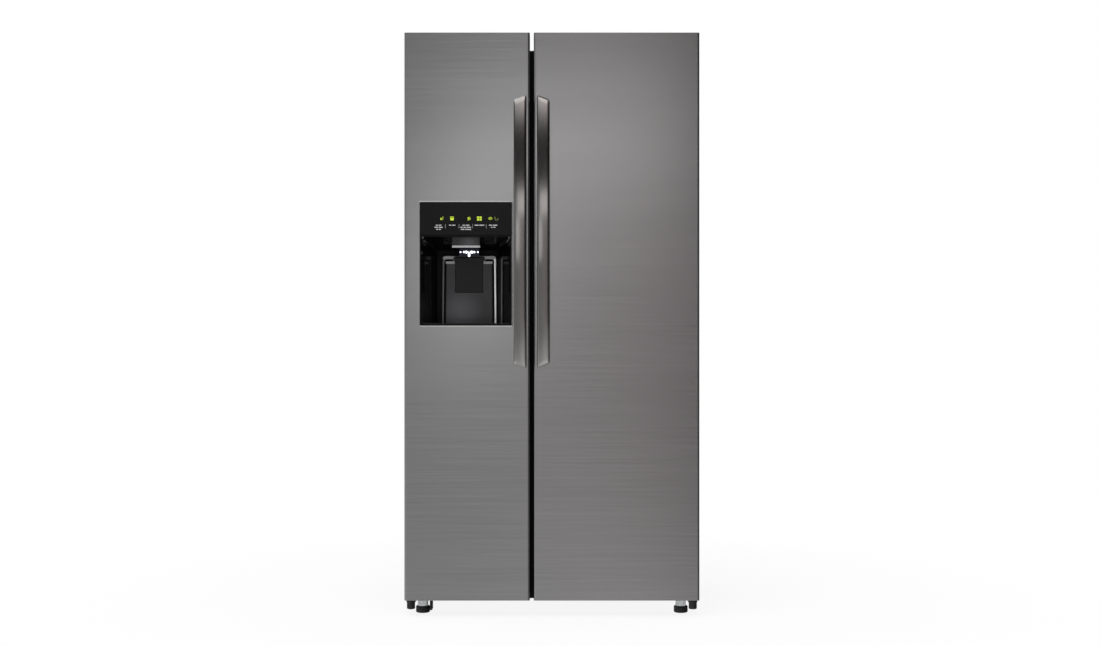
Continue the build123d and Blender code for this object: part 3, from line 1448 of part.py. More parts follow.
def ice_bin():
    """Ice bin with the spout that feeds the door's chute and holes for the auger shaft."""
    hinge_wall, latch_wall = compartment_walls(-1)
    xs = (hinge_wall + drawer_side_gap, latch_wall - drawer_side_gap)
    ys = (ice_bin_front, ice_bin_rear)
    tub = open_tub(xs, ys, (ice_bin_level, ice_bin_level + ice_bin_height), drawer_wall, drawer_round)
    outline = [(ice_bin_front + ice_spout_length, ice_bin_level), (ice_bin_front, ice_bin_level),
               (ice_spout_tip, ice_bin_level - drawer_wall), (ice_spout_tip, ice_bin_level - ice_spout_drop),
               (ice_spout_tip + ice_spout_length, ice_bin_level - ice_spout_drop)]
    spout_xs = (dispenser_x - ice_spout_half, dispenser_x + ice_spout_half)
    spout = prism_x(outline, spout_xs)
    passage = [(ice_bin_front + ice_spout_length - drawer_wall, ice_bin_level + cut_over),
               (ice_bin_front + drawer_wall, ice_bin_level + cut_over),
               (ice_bin_front + drawer_wall, ice_bin_level - 2 * drawer_wall),
               (ice_spout_tip - cut_over, ice_bin_level - 2 * drawer_wall),
               (ice_spout_tip - cut_over, ice_bin_level - ice_spout_drop + drawer_wall),
               (ice_spout_tip + ice_spout_length - 2 * drawer_wall,
                ice_bin_level - ice_spout_drop + drawer_wall)]
    tunnel = prism_x(passage, (spout_xs[0] + drawer_wall, spout_xs[1] - drawer_wall))
    shaft = rod_y(auger_shaft_radius + running_fit, freezer_middle(),
                  (ice_bin_front - cut_over, ice_bin_rear + cut_over), ice_bin_level + auger_height)
    return tub + spout - tunnel - shaft


def ice_auger():
    """Bent wire auger on its shaft, one unbroken turn after another."""
    length = ice_bin_rear - ice_bin_front
    shaft_ys = (ice_bin_front, ice_bin_rear)
    shaft = rod_y(auger_shaft_radius, freezer_middle(), shaft_ys, ice_bin_level + auger_height)
    coil_length = auger_turn_spacing * auger_turns
    turns = Helix(pitch=auger_turn_spacing, height=coil_length, radius=auger_radius)
    wire = sweep(Plane(origin=turns @ 0, z_dir=turns % 0) * Circle(auger_wire), path=turns)
    arms = []
    for z in (0, coil_length):
        arms.append(Pos(auger_radius / 2, 0, z) * Rot(0, 90, 0) * Cylinder(auger_wire, auger_radius))
    coil = wire + arms
    start = Pos(freezer_middle(), ice_bin_front + (length + coil_length) / 2, ice_bin_level + auger_height)
    return shaft + start * Rot(90, 0, 0) * coil


def ice_maker():
    """Ice maker hung under the ceiling: cell tray, drive box and hanger."""
    middle = freezer_middle()
    half = ice_tray_width / 2
    tray_zs = (ice_tray_level, ice_tray_level + ice_tray_height)
    tray_ys = (ice_tray_front, ice_tray_front + ice_tray_length)
    tray = block((middle - half, middle + half), tray_ys, tray_zs)
    row_pitch = ice_tray_length / ice_cell_rows
    cells = []
    for row in range(ice_cell_rows):
        for column in (-1, 1):
            cell_xs = sorted((middle + column * ice_cell_wall / 2, middle + column * (half - ice_cell_wall)))
            cell_ys = (tray_ys[0] + row * row_pitch + ice_cell_wall / 2,
                       tray_ys[0] + (row + 1) * row_pitch - ice_cell_wall / 2)
            cells.append(block(cell_xs, cell_ys, (tray_zs[1] - ice_cell_depth, tray_zs[1] + cut_over)))
    drive = block((middle - half, middle + half), (tray_ys[0] - ice_drive_length, tray_ys[0]),
                  (ice_tray_level - ice_cell_wall, ice_tray_level + ice_drive_height))
    drive = rounded(drive, Axis.Y, ice_cell_wall * 2)
    hanger = block((middle - half / 2, middle + half / 2), (tray_ys[0] - ice_drive_length, tray_ys[0]),
                   (ice_tray_level + ice_drive_height - ice_cell_wall, ceiling_z))
    return tray - cells + drive + hanger


# Every named piece of the refrigerator
def all_pieces():
    """Name and shape of each piece."""
    pieces = {
        "outer_case": outer_case(),
        "back_panel": back_panel(),
        "base_pan": base_pan(),
        "compressor_tray": compressor_tray(),
        "foam_insulation": foam_insulation(),
        "freezer_liner": freezer_liner(),
        "fridge_liner": fridge_liner(),
        "centre_mullion": centre_mullion(),
        "machine_cover": machine_cover(),
        "compressor": compressor(),
        "condenser": condenser(),
        "condenser_fan_frame": condenser_fan_frame(),
        "condenser_fan": condenser_fan(),
        "water_valve": water_valve(),
        "evaporator_cover": evaporator_cover(),
        "evaporator": evaporator(),
        "evaporator_fan": evaporator_fan(),
        "air_duct": air_duct(),
        "freezer_shelves": freezer_shelves(),
        "fridge_shelves": fridge_shelves(),
        "freezer_drawers": freezer_drawers(),
        "crisper_drawers": crisper_drawers(),
        "compartment_lamps": compartment_lamps(),
        "ice_maker": ice_maker(),
        "ice_bin": ice_bin(),
        "ice_auger": ice_auger(),
        "top_hinges": both_sides(top_hinge),
        "hinge_covers": both_sides(hinge_cover),
        "bottom_hinges": both_sides(bottom_hinge),
        "leveling_leg_left": leveling_leg(-1),
        "leveling_leg_right": leveling_leg(1),
        "rear_roller_left": rear_roller(-1),
        "rear_roller_right": rear_roller(1),
        "dispenser_housing": dispenser_housing(),
        "dispenser_fascia": dispenser_fascia(),
        "dispenser_paddle": dispenser_paddle(),
        "dispenser_lamp": dispenser_lamp(),
        "water_spout": water_spout(),
        "drip_tray": drip_tray(),
        "ice_chute": ice_chute(),
        "ice_flap": ice_flap(),
    }
    for index in range(button_count):
        pieces[f"control_button_{index + 1}"] = control_button(index)
    doors = (("freezer", -1, freezer_bin_levels, freezer_bin_height),
             ("fridge", 1, fridge_bin_levels, fridge_bin_height))
    for name, side, levels, tall in doors:
        pieces[f"{name}_door_skin"] = door_skin_sheet(side)
        pieces[f"{name}_door_caps"] = door_caps(side)
        pieces[f"{name}_door_foam"] = door_foam(side)
        pieces[f"{name}_door_liner"] = door_liner(side, levels)
        pieces[f"{name}_door_seal"] = door_seal(side)
        pieces[f"{name}_door_bins"] = door_bins(side, levels, tall)
        pieces[f"{name}_handle"] = door_handle(side)
    return pieces


os.makedirs("parts", exist_ok=True)
for piece_name, piece in all_pieces().items():
    export_step(as_solids(piece), f"parts/{piece_name}.step")
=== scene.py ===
import math

import bmesh
import bpy
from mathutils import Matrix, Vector


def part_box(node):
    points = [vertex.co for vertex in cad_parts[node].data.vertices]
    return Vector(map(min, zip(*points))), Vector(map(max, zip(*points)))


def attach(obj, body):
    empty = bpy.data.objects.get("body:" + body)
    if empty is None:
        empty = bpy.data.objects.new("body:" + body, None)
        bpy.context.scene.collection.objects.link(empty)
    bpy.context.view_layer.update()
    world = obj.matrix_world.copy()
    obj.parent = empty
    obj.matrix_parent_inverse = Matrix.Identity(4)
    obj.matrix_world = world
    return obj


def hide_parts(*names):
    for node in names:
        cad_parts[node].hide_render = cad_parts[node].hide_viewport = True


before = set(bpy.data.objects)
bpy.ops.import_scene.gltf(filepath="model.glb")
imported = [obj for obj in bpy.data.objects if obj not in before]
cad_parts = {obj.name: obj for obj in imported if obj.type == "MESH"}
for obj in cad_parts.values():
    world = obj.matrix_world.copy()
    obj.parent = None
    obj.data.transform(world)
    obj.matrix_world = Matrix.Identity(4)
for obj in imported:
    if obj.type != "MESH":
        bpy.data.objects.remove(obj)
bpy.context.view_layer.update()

# Side by side refrigerator: finishes of the solids, small fittings, studio and camera
# Measures are metres, +Z is up and the doors face -Y

mm = 0.001

# Camera and picture, set by the photograph
camera_x = -0.00575
camera_z = 0.8906
camera_distance = 5.0
picture_width_at_doors = 3.3303
camera_level = math.radians(90)
sensor_width = 36.0

# Range in which a noise pattern mostly lies
noise_low = 0.3
noise_high = 0.7

# Sockets of the colour mix node
mix_factor, mix_a, mix_b, mix_colour = 0, 6, 7, 2

# Worn edges: width of the wear, and how far the rounded normal leans where it starts and where it is full
wear_width = 1.5 * mm
wear_start = 0.985
wear_full = 0.8
wear_samples = 4
wear_patch = 25 * mm
wear_detail = 2.0
wear_least = 0.2
wear_gloss = 0.12

# Detail of the fine grain and of the slow change of tone
grain_detail = 3.0
tone_detail = 1.0

# Lit lenses and signs
lit_rough = 0.3
lit_depth = 0.02 * mm
lit_vary = 0.1


# Shader helpers
def new_material(name):
    """Node material and its main shader."""
    material = bpy.data.materials.new(name)
    material.use_nodes = True
    return material, material.node_tree.nodes["Principled BSDF"]


def connect(tree, value, socket):
    """Sets a socket to a plain value, or links another node's output to it."""
    if isinstance(value, bpy.types.NodeSocket):
        tree.links.new(value, socket)
    else:
        socket.default_value = value


def add(tree, kind, inputs=None, **settings):
    """One shader node with its settings and inputs."""
    made = tree.nodes.new("ShaderNode" + kind)
    for name, value in settings.items():
        setattr(made, name, value)
    for name, value in (inputs or {}).items():
        connect(tree, value, made.inputs[name])
    return made


def noise(tree, scales, detail):
    """Noise over a piece, with its own scale along each axis."""
    place = add(tree, "TexCoord").outputs["Object"]
    stretched = add(tree, "Mapping", {"Vector": place, "Scale": scales}).outputs["Vector"]
    return add(tree, "TexNoise", {"Vector": stretched, "Scale": 1.0, "Detail": detail}).outputs[0]


def spread(tree, factor, low, high):
    """Noise carried to a range of plain numbers."""
    inputs = {"Value": factor, "From Min": noise_low, "From Max": noise_high,
              "To Min": low, "To Max": high}
    return add(tree, "MapRange", inputs).outputs["Result"]


def shades(tree, factor, stops):
    """A factor carried through colours at given positions."""
    ramp = add(tree, "ValToRGB", {"Fac": factor})
    elements = ramp.color_ramp.elements
    while len(elements) < len(stops):
        elements.new(1.0)
    for element, (position, colour) in zip(elements, stops):
        element.position = position
        element.color = (*colour, 1.0)
    return ramp.outputs["Color"]


def scaled(colour, share):
    """A colour made lighter or darker."""
    return tuple(channel * share for channel in colour)


def mix(tree, kind, factor, first, second):
    """Two colours joined by a factor."""
    made = add(tree, "Mix", data_type="RGBA", blend_type=kind)
    for socket, value in ((mix_factor, factor), (mix_a, first), (mix_b, second)):
        connect(tree, value, made.inputs[socket])
    return made.outputs[mix_colour]


def edge_wear(tree):
    """Share of wear: patchy along the edges of a piece, none on its flat faces."""
    rounded = add(tree, "Bevel", {"Radius": wear_width}, samples=wear_samples).outputs["Normal"]
    plain = add(tree, "NewGeometry").outputs["Normal"]
    facing = add(tree, "VectorMath", {0: rounded, 1: plain}, operation="DOT_PRODUCT").outputs["Value"]
    patchy = spread(tree, noise(tree, [1 / wear_patch] * 3, wear_detail), wear_least, 1.0)
    inputs = {"Value": facing, "From Min": wear_start, "From Max": wear_full, "To Max": patchy}
    return add(tree, "MapRange", inputs).outputs["Result"]


def finish(name, colour, rough, grain, depth, vary=0.08, stretch=(1, 1, 1), slow=(0.35, 0.35, 0.35),
           swing=0.06, worn=None, **sockets):
    """Material whose grain shows in colour, gloss and bump, over a slow change of tone and worn edges."""
    material, shader = new_material(name)
    tree = material.node_tree
    fine = noise(tree, [share / grain for share in stretch], grain_detail)
    broad = noise(tree, [1 / size for size in slow], tone_detail)
    dark, light = scaled(colour, 1 - vary), scaled(colour, 1 + vary)
    base = shades(tree, fine, [(noise_low, dark), (noise_high, light)])
    tone = shades(tree, broad, [(noise_low, (1 - vary,) * 3), (noise_high, (1.0,) * 3)])
    tint = mix(tree, "MULTIPLY", 1.0, base, tone)
    gloss = spread(tree, fine, rough - swing, rough + swing)
    if worn:
        wear = edge_wear(tree)
        tint = mix(tree, "MIX", wear, tint, (*worn, 1.0))
        polish = add(tree, "Math", {0: wear, 1: wear_gloss}, operation="MULTIPLY").outputs[0]
        gloss = add(tree, "Math", {0: gloss, 1: polish}, operation="SUBTRACT").outputs[0]
    connect(tree, tint, shader.inputs["Base Color"])
    connect(tree, gloss, shader.inputs["Roughness"])
    bump = add(tree, "Bump", {"Height": fine, "Distance": depth, "Strength": 1.0})
    connect(tree, bump.outputs["Normal"], shader.inputs["Normal"])
    for socket, value in sockets.items():
        shader.inputs[socket.replace("_", " ")].default_value = value
    return material


def brushed(name, colour, rough, grain, depth, stretch, turn, strength, **options):
    """Brushed metal: long thin scratches, and gloss drawn out across them."""
    material = finish(name, colour, rough, grain, depth, stretch=stretch, Metallic=1.0, **options)
    tree = material.node_tree
    shader = tree.nodes["Principled BSDF"]
    tangent = add(tree, "Tangent", direction_type="RADIAL", axis="Z").outputs["Tangent"]
    connect(tree, tangent, shader.inputs["Tangent"])
    shader.inputs["Anisotropic"].default_value = strength
    shader.inputs["Anisotropic Rotation"].default_value = turn
    return material


def painted_light_patch(material, center, reach, colour):
    """Paints a pool of light on a material: a paler patch about a point."""
    tree = material.node_tree
    socket = tree.nodes["Principled BSDF"].inputs["Base Color"]
    plain = socket.links[0].from_socket
    place = add(tree, "TexCoord").outputs["Object"]
    away = add(tree, "VectorMath", {0: place, 1: center}, operation="DISTANCE").outputs["Value"]
    fade = {"Value": away, "From Max": reach, "To Min": 1.0, "To Max": 0.0}
    near = add(tree, "MapRange", fade, interpolation_type="SMOOTHSTEP").outputs["Result"]
    connect(tree, mix(tree, "MIX", near, plain, (*colour, 1.0)), socket)


def lit(name, colour, strength, grain, dimmest):
    """Lit lens or sign whose glow changes a little over its face."""
    material = finish(name, colour, lit_rough, grain, lit_depth, vary=lit_vary)
    tree = material.node_tree
    shader = tree.nodes["Principled BSDF"]
    glow = noise(tree, [1 / grain] * 3, tone_detail)
    stops = [(noise_low, scaled(colour, dimmest)), (noise_high, colour)]
    connect(tree, shades(tree, glow, stops), shader.inputs["Emission Color"])
    shader.inputs["Emission Strength"].default_value = strength
    return material


# Finishes
door_steel = brushed("door_steel", (0.565, 0.564, 0.564), rough=0.2, grain=4.4 * mm, depth=0.002 * mm,
                     stretch=(0.012, 0.012, 1), turn=0.25, strength=0.4, vary=0.04, swing=0.015,
                     slow=(0.9, 0.9, 0.09))
handle_steel = brushed("handle_steel", (0.378, 0.365, 0.354), rough=0.12, grain=2.4 * mm,
                       depth=0.002 * mm, stretch=(1, 1, 0.01), turn=0.0, strength=0.5, vary=0.03,
                       swing=0.02, slow=(0.01, 0.01, 0.5))
trim_steel = brushed("trim_steel", (0.66, 0.655, 0.65), rough=0.24, grain=2 * mm, depth=0.002 * mm,
                     stretch=(0.02, 1, 0.02), turn=0.25, strength=0.2, vary=0.03, swing=0.03)
case_paint = finish("case_paint", (0.2, 0.2, 0.205), rough=0.42, grain=2.2 * mm, depth=0.12 * mm,
                    worn=(0.36, 0.36, 0.365))
rear_paint = finish("rear_paint", (0.42, 0.425, 0.43), rough=0.45, grain=2.5 * mm, depth=0.08 * mm,
                    worn=(0.6, 0.605, 0.61))
zinc_steel = finish("zinc_steel", (0.62, 0.63, 0.64), rough=0.36, grain=9 * mm, depth=0.05 * mm,
                    vary=0.14, Metallic=1.0)
black_steel = finish("black_steel", (0.012, 0.012, 0.012), rough=0.42, grain=1.5 * mm, depth=0.06 * mm,
                     worn=(0.07, 0.07, 0.072))
# Near black with little gloss: painted shade in the gap between the doors, on the mullion and the cabinet's
# front
gap_painted_shade = finish("gap_painted_shade", (0.005, 0.005, 0.0052), rough=0.48, grain=1.5 * mm, depth=0.06 * mm,
                   Specular_IOR_Level=0.12)
foam = finish("foam", (0.72, 0.6, 0.34), rough=0.9, grain=3 * mm, depth=0.4 * mm, vary=0.15)
white_liner = finish("white_liner", (0.8, 0.81, 0.815), rough=0.22, grain=6 * mm, depth=0.02 * mm,
                     vary=0.02)
white_plastic = finish("white_plastic", (0.76, 0.77, 0.77), rough=0.4, grain=1.2 * mm, depth=0.04 * mm,
                       vary=0.03)
clear_plastic = finish("clear_plastic", (0.86, 0.91, 0.94), rough=0.12, grain=8 * mm, depth=0.02 * mm,
                       vary=0.02, swing=0.04, Transmission_Weight=0.9, IOR=1.49)
shelf_glass = finish("shelf_glass", (0.84, 0.93, 0.9), rough=0.06, grain=30 * mm, depth=0.01 * mm,
                     vary=0.02, swing=0.03, Transmission_Weight=0.95, IOR=1.52)
trim_plastic = finish("trim_plastic", (0.5, 0.51, 0.52), rough=0.32, grain=2 * mm, depth=0.03 * mm)
black_plastic = finish("black_plastic", (0.004, 0.004, 0.0042), rough=0.3, grain=1.2 * mm,
                       depth=0.03 * mm, worn=(0.03, 0.03, 0.031), Specular_IOR_Level=0.35)
gloss_black = finish("gloss_black", (0.004, 0.004, 0.004), rough=0.22, grain=4 * mm, depth=0.006 * mm,
                     swing=0.03, Specular_IOR_Level=0.22)
recess_black = finish("recess_black", (0.0015, 0.0015, 0.0016), rough=0.16, grain=4 * mm,
                      depth=0.006 * mm, swing=0.03, Specular_IOR_Level=0.22)
lamp_black = finish("lamp_black", (0.02, 0.02, 0.03), rough=0.3, grain=1.2 * mm, depth=0.01 * mm)
wall_black = finish("wall_black", (0.0015, 0.0015, 0.0016), rough=0.08, grain=4 * mm, depth=0.004 * mm,
                    swing=0.02, Specular_IOR_Level=0.8)
deep_black = finish("deep_black", (0.002, 0.002, 0.002), rough=0.5, grain=1.2 * mm, depth=0.03 * mm,
                    Specular_IOR_Level=0.1)
# Pale grey of the bars atop the pad: painted highlight on their top edges
bar_painted_highlight = finish("bar_painted_highlight", (0.2, 0.2, 0.205), rough=0.28, grain=1.0 * mm, depth=0.006 * mm,
                  vary=0.04)
# Darker and paler copies of the rim's grey: painted shade on its left side, painted highlight on its right
# side
rim_painted_shade = finish("rim_painted_shade", (0.06, 0.06, 0.063), rough=0.26, grain=1.0 * mm, depth=0.006 * mm,
                  vary=0.04)
rim_painted_highlight = finish("rim_painted_highlight", (0.66, 0.66, 0.665), rough=0.26, grain=1.0 * mm, depth=0.006 * mm,
                    vary=0.04)
pad_black = finish("pad_black", (0.02, 0.02, 0.0215), rough=0.34, grain=1.0 * mm, depth=0.03 * mm)
paddle_black = finish("paddle_black", (0.007, 0.007, 0.007), rough=0.38, grain=1.0 * mm,
                      depth=0.04 * mm, Specular_IOR_Level=0.3)
chute_grey = finish("chute_grey", (0.012, 0.012, 0.013), rough=0.24, grain=3 * mm, depth=0.008 * mm)
# Pale grey of the chute's lip and the recess's corner beads: painted highlight
lip_painted_highlight = finish("lip_painted_highlight", (0.34, 0.34, 0.35), rough=0.36, grain=1.4 * mm, depth=0.04 * mm)
dark_cap = finish("dark_cap", (0.035, 0.035, 0.037), rough=0.45, grain=1.6 * mm, depth=0.08 * mm,
                  worn=(0.1, 0.1, 0.104))
seal_rubber = finish("seal_rubber", (0.012, 0.012, 0.012), rough=0.62, grain=1.0 * mm, depth=0.1 * mm)
black_rubber = finish("black_rubber", (0.008, 0.008, 0.008), rough=0.6, grain=1.4 * mm, depth=0.16 * mm,
                      worn=(0.04, 0.04, 0.04))
collar_white = finish("collar_white", (0.84, 0.87, 0.88), rough=0.38, grain=1.6 * mm, depth=0.05 * mm,
                      vary=0.03)
copper_tube = finish("copper_tube", (0.55, 0.27, 0.16), rough=0.4, grain=5 * mm, depth=0.04 * mm,
                     vary=0.16, Metallic=1.0)
brass = finish("brass", (0.66, 0.5, 0.22), rough=0.32, grain=3 * mm, depth=0.03 * mm, Metallic=1.0)
fin_aluminium = finish("fin_aluminium", (0.74, 0.75, 0.76), rough=0.34, grain=2 * mm, depth=0.03 * mm,
                       Metallic=1.0)
lamp_lens = lit("lamp_lens", (0.93, 0.96, 1.0), strength=0.6, grain=6 * mm, dimmest=0.8)
lamp_bar = lit("lamp_bar", (0.008, 0.008, 0.02), strength=0.25, grain=12 * mm, dimmest=0.3)
led_white = lit("led_white", (0.9, 0.92, 1.0), strength=3.2, grain=4 * mm, dimmest=0.6)
spout_glow = lit("spout_glow", (0.92, 0.93, 1.0), strength=2.2, grain=5 * mm, dimmest=0.5)
icon_green = lit("icon_green", (0.36, 0.46, 0.03), strength=0.75, grain=3 * mm, dimmest=0.6)
icon_dim = lit("icon_dim", (0.16, 0.2, 0.05), strength=0.5, grain=3 * mm, dimmest=0.6)
label_grey = finish("label_grey", (0.42, 0.42, 0.43), rough=0.5, grain=1.0 * mm, depth=0.02 * mm)

whole_nodes = {
    door_steel: ["freezer_door_skin", "fridge_door_skin"],
    handle_steel: ["freezer_handle", "fridge_handle"],
    case_paint: ["outer_case"],
    rear_paint: ["back_panel", "machine_cover"],
    zinc_steel: ["base_pan", "compressor_tray", "top_hinges", "ice_auger"],
    black_steel: ["compressor", "bottom_hinges"],
    gap_painted_shade: ["centre_mullion"],
    foam: ["foam_insulation", "freezer_door_foam", "fridge_door_foam"],
    white_liner: ["freezer_liner", "fridge_liner", "evaporator_cover", "freezer_door_liner",
                  "fridge_door_liner"],
    white_plastic: ["evaporator_fan", "air_duct", "ice_maker", "ice_bin", "ice_flap"],
    clear_plastic: ["freezer_drawers", "crisper_drawers", "freezer_door_bins", "fridge_door_bins"],
    shelf_glass: ["freezer_shelves", "fridge_shelves"],
    black_plastic: ["condenser_fan_frame", "condenser_fan", "rear_roller_left", "rear_roller_right",
                    "drip_tray"],
    recess_black: ["dispenser_housing"],
    lamp_black: ["water_spout"],
    gloss_black: ["dispenser_fascia"] + [f"control_button_{number}" for number in range(1, 6)],
    paddle_black: ["dispenser_paddle"],
    chute_grey: ["ice_chute"],
    dark_cap: ["hinge_covers", "freezer_door_caps", "fridge_door_caps"],
    seal_rubber: ["freezer_door_seal", "fridge_door_seal"],
    black_rubber: ["leveling_leg_left", "leveling_leg_right"],
    copper_tube: ["condenser"],
    fin_aluminium: ["evaporator"],
    lamp_lens: ["compartment_lamps"],
    lamp_bar: ["dispenser_lamp"],
    collar_white: ["water_valve"],
}
for material, names in whole_nodes.items():
    for name in names:
        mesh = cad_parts[name].data
        mesh.materials.clear()
        mesh.materials.append(material)


def patch(name, material, belongs):
    """Gives another finish to the faces of a solid whose middle and normal fit a rule."""
    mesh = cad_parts[name].data
    mesh.materials.append(material)
    for face in mesh.polygons:
        if belongs(face.center, face.normal):
            face.material_index = len(mesh.materials) - 1


# Steps of rounded edges, sunk foot of a plate, shares of a lens and of a screw head
corner_steps = 4
plate_steps = 3
plate_sunk = 0.1 * mm
lens_steps = 4
lens_rim = 1 / 3
screw_steps = 3
screw_arm = 0.1
screw_reach = 0.4
screw_floor = 1 / 3
sharp_angle = math.radians(35)


# Mesh helpers: outlines are lists of flat points, and a surface turns a flat point and a rise into a place
def on_front(y):
    """Surface that faces -Y: a flat point is (x, z)."""
    return lambda point, rise: Vector((point[0], y - rise, point[1]))


def on_back(y):
    """Surface that faces +Y: a flat point is (x, z)."""
    return lambda point, rise: Vector((point[0], y + rise, point[1]))


def on_top(z):
    """Surface that faces +Z: a flat point is (x, y)."""
    return lambda point, rise: Vector((point[0], point[1], z + rise))


def corner_arc(before, corner, after, radius, steps):
    """Points of the arc that rounds one corner of an outline."""
    before, corner, after = Vector(before), Vector(corner), Vector(after)
    to_before = (before - corner).normalized()
    to_after = (after - corner).normalized()
    half = to_before.angle(to_after) / 2
    center = corner + (to_before + to_after).normalized() * (radius / math.sin(half))
    start = corner + to_before * (radius / math.tan(half)) - center
    end = corner + to_after * (radius / math.tan(half)) - center
    turn = start.angle_signed(end)
    points = []
    for step in range(steps + 1):
        angle = -turn * step / steps
        cosine, sine = math.cos(angle), math.sin(angle)
        turned = Vector((start.x * cosine - start.y * sine, start.x * sine + start.y * cosine))
        points.append(center + turned)
    return points


def rounded_outline(corners, radius):
    """Closed outline whose corners are all rounded alike."""
    points = []
    count = len(corners)
    for index, corner in enumerate(corners):
        points += corner_arc(corners[index - 1], corner, corners[(index + 1) % count], radius, corner_steps)
    return points


def rectangle(x, z, wide, tall):
    """Corners of an upright rectangle about its middle, in turning order."""
    half_wide, half_tall = wide / 2, tall / 2
    return [(x - half_wide, z - half_tall), (x + half_wide, z - half_tall),
            (x + half_wide, z + half_tall), (x - half_wide, z + half_tall)]


def circle(x, z, radius, steps=24):
    """Round outline about its middle."""
    turns = [2 * math.pi * step / steps for step in range(steps)]
    return [Vector((x + radius * math.cos(turn), z + radius * math.sin(turn))) for turn in turns]


def inset(outline, distance):
    """Outline drawn in by a distance; it runs against the clock hands."""
    points = []
    count = len(outline)
    for index, point in enumerate(outline):
        along_in = (point - outline[index - 1]).normalized()
        along_out = (outline[(index + 1) % count] - point).normalized()
        normal_in = Vector((-along_in.y, along_in.x))
        normal_out = Vector((-along_out.y, along_out.x))
        points.append(point + (normal_in + normal_out) * (distance / (1 + normal_in.dot(normal_out))))
    return points


def loft(shape, rings, looped=False, capped=True):
    """Skin over rings of points, capped at both ends or running round to the first ring."""
    rows = [[shape.verts.new(point) for point in ring] for ring in rings]
    pairs = list(zip(rows, rows[1:]))
    if looped:
        pairs.append((rows[-1], rows[0]))
    for low, high in pairs:
        for index in range(len(low)):
            after = (index + 1) % len(low)
            shape.faces.new((low[index], low[after], high[after], high[index]))
    if capped and not looped:
        shape.faces.new(rows[0])
        shape.faces.new(rows[-1])
    return rows


def quarter(steps):
    """Shares of a rounded edge: how far in and how far up, from its foot to its top."""
    turns = [math.pi / 2 * step / steps for step in range(steps + 1)]
    return [(1 - math.cos(turn), math.sin(turn)) for turn in turns]


def pillow(shape, outline, rise, edge, surface):
    """Low plate with a rounded upper edge, its foot a little sunk in the surface."""
    rings = [[surface(point, -plate_sunk) for point in outline]]
    for share_in, share_up in quarter(plate_steps):
        level = rise - edge + edge * share_up
        rings.append([surface(point, level) for point in inset(outline, edge * share_in)])
    loft(shape, rings)


def dome(shape, x, z, radius, rise, surface):
    """Round lens: a short rim and a bulging face."""
    rim = rise * lens_rim
    rings = [[surface(point, -rim) for point in circle(x, z, radius)]]
    for share_in, share_up in quarter(lens_steps)[:-1]:
        level = rim + (rise - rim) * share_up
        rings.append([surface(point, level) for point in circle(x, z, radius * (1 - share_in))])
    loft(shape, rings)


def screw(shape, x, z, radius, rise, surface):
    """Pan head with a cross recess."""
    outline = circle(x, z, radius)
    rings = [[surface(point, 0) for point in outline]]
    for share_in, share_up in quarter(screw_steps):
        level = rise / 2 + rise / 2 * share_up
        rings.append([surface(point, level) for point in inset(outline, radius / 2 * share_in)])
    rows = loft(shape, rings, capped=False)
    arm, reach = radius * screw_arm, radius * screw_reach
    cross = [(arm, -reach), (arm, -arm), (reach, -arm), (reach, arm), (arm, arm), (arm, reach),
             (-arm, reach), (-arm, arm), (-reach, arm), (-reach, -arm), (-arm, -arm), (-arm, -reach)]
    lip = [shape.verts.new(surface(Vector((x + u, z + v)), rise)) for u, v in cross]
    floor = [shape.verts.new(surface(Vector((x + u, z + v)), rise * screw_floor)) for u, v in cross]
    rim_edges = []
    for row in (rows[-1], lip):
        for index, vertex in enumerate(row):
            after = row[(index + 1) % len(row)]
            rim_edges.append(shape.edges.get((vertex, after)) or shape.edges.new((vertex, after)))
    bmesh.ops.triangle_fill(shape, edges=rim_edges, use_beauty=True)
    for index in range(len(lip)):
        after = (index + 1) % len(lip)
        shape.faces.new((lip[index], lip[after], floor[after], floor[index]))
    shape.faces.new(floor)


def new_piece(name, shape, material, body):
    """Smooth mesh object from a built shape, riding on a body."""
    mesh = bpy.data.meshes.new(name)
    bmesh.ops.recalc_face_normals(shape, faces=shape.faces)
    shape.to_mesh(mesh)
    shape.free()
    mesh.materials.append(material)
    mesh.shade_smooth()
    mesh.set_sharp_from_angle(angle=sharp_angle)
    piece = bpy.data.objects.new(name, mesh)
    bpy.context.scene.collection.objects.link(piece)
    piece.modifiers.new("even_normals", "WEIGHTED_NORMAL").keep_sharp = True
    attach(piece, body)
    return piece


# Places of the solids that carry the small fittings
door_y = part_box("freezer_door_skin")[0][1]
fascia_low, fascia_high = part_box("dispenser_fascia")
housing_low, housing_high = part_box("dispenser_housing")
chute_low, chute_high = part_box("ice_chute")
bar_low, bar_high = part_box("dispenser_lamp")
recess_x = (fascia_low[0] + fascia_high[0]) / 2
pad_x = (bar_low[0] + bar_high[0]) / 2
paddle_proud = 2 * mm
pad_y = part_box("dispenser_paddle")[0][1] + paddle_proud

# Handles: one smooth bowed bar on two posts
handle_thickness = 17 * mm
handle_end_y = door_y - 27 * mm
handle_end_slope = 14 * mm
handle_edge = 5 * mm
handle_shoulder = 10 * mm
handle_tip = 3 * mm
handle_tip_cut = 1.3 * mm
handle_least = 0.3 * mm
handle_post_margin = 5 * mm
handle_post_length = 46 * mm
handle_post_round = 4 * mm
handle_crown = 0.3 * mm
handle_rows = 72
handle_columns = 8
handle_corner_steps = 6
handle_edge_steps = 5


def handle_quad(box, side, margin):
    """Corners of a handle's front outline: lower tip, lower shoulder, upper shoulder, upper tip."""
    low, high = box
    wide = high[0] - low[0]
    gap_x, along = (high[0], -1) if side < 0 else (low[0], 1)
    middle = (low[2] + high[2]) / 2
    half = (high[2] - low[2]) / 2 + handle_tip_cut
    slope = handle_end_slope / wide
    drop = margin * math.sqrt(1 + slope * slope)
    near, far = margin, wide - margin
    near_z = half - slope * near - drop
    far_z = half - slope * far - drop
    return [(gap_x + along * near, middle - near_z), (gap_x + along * far, middle - far_z),
            (gap_x + along * far, middle + far_z), (gap_x + along * near, middle + near_z)]


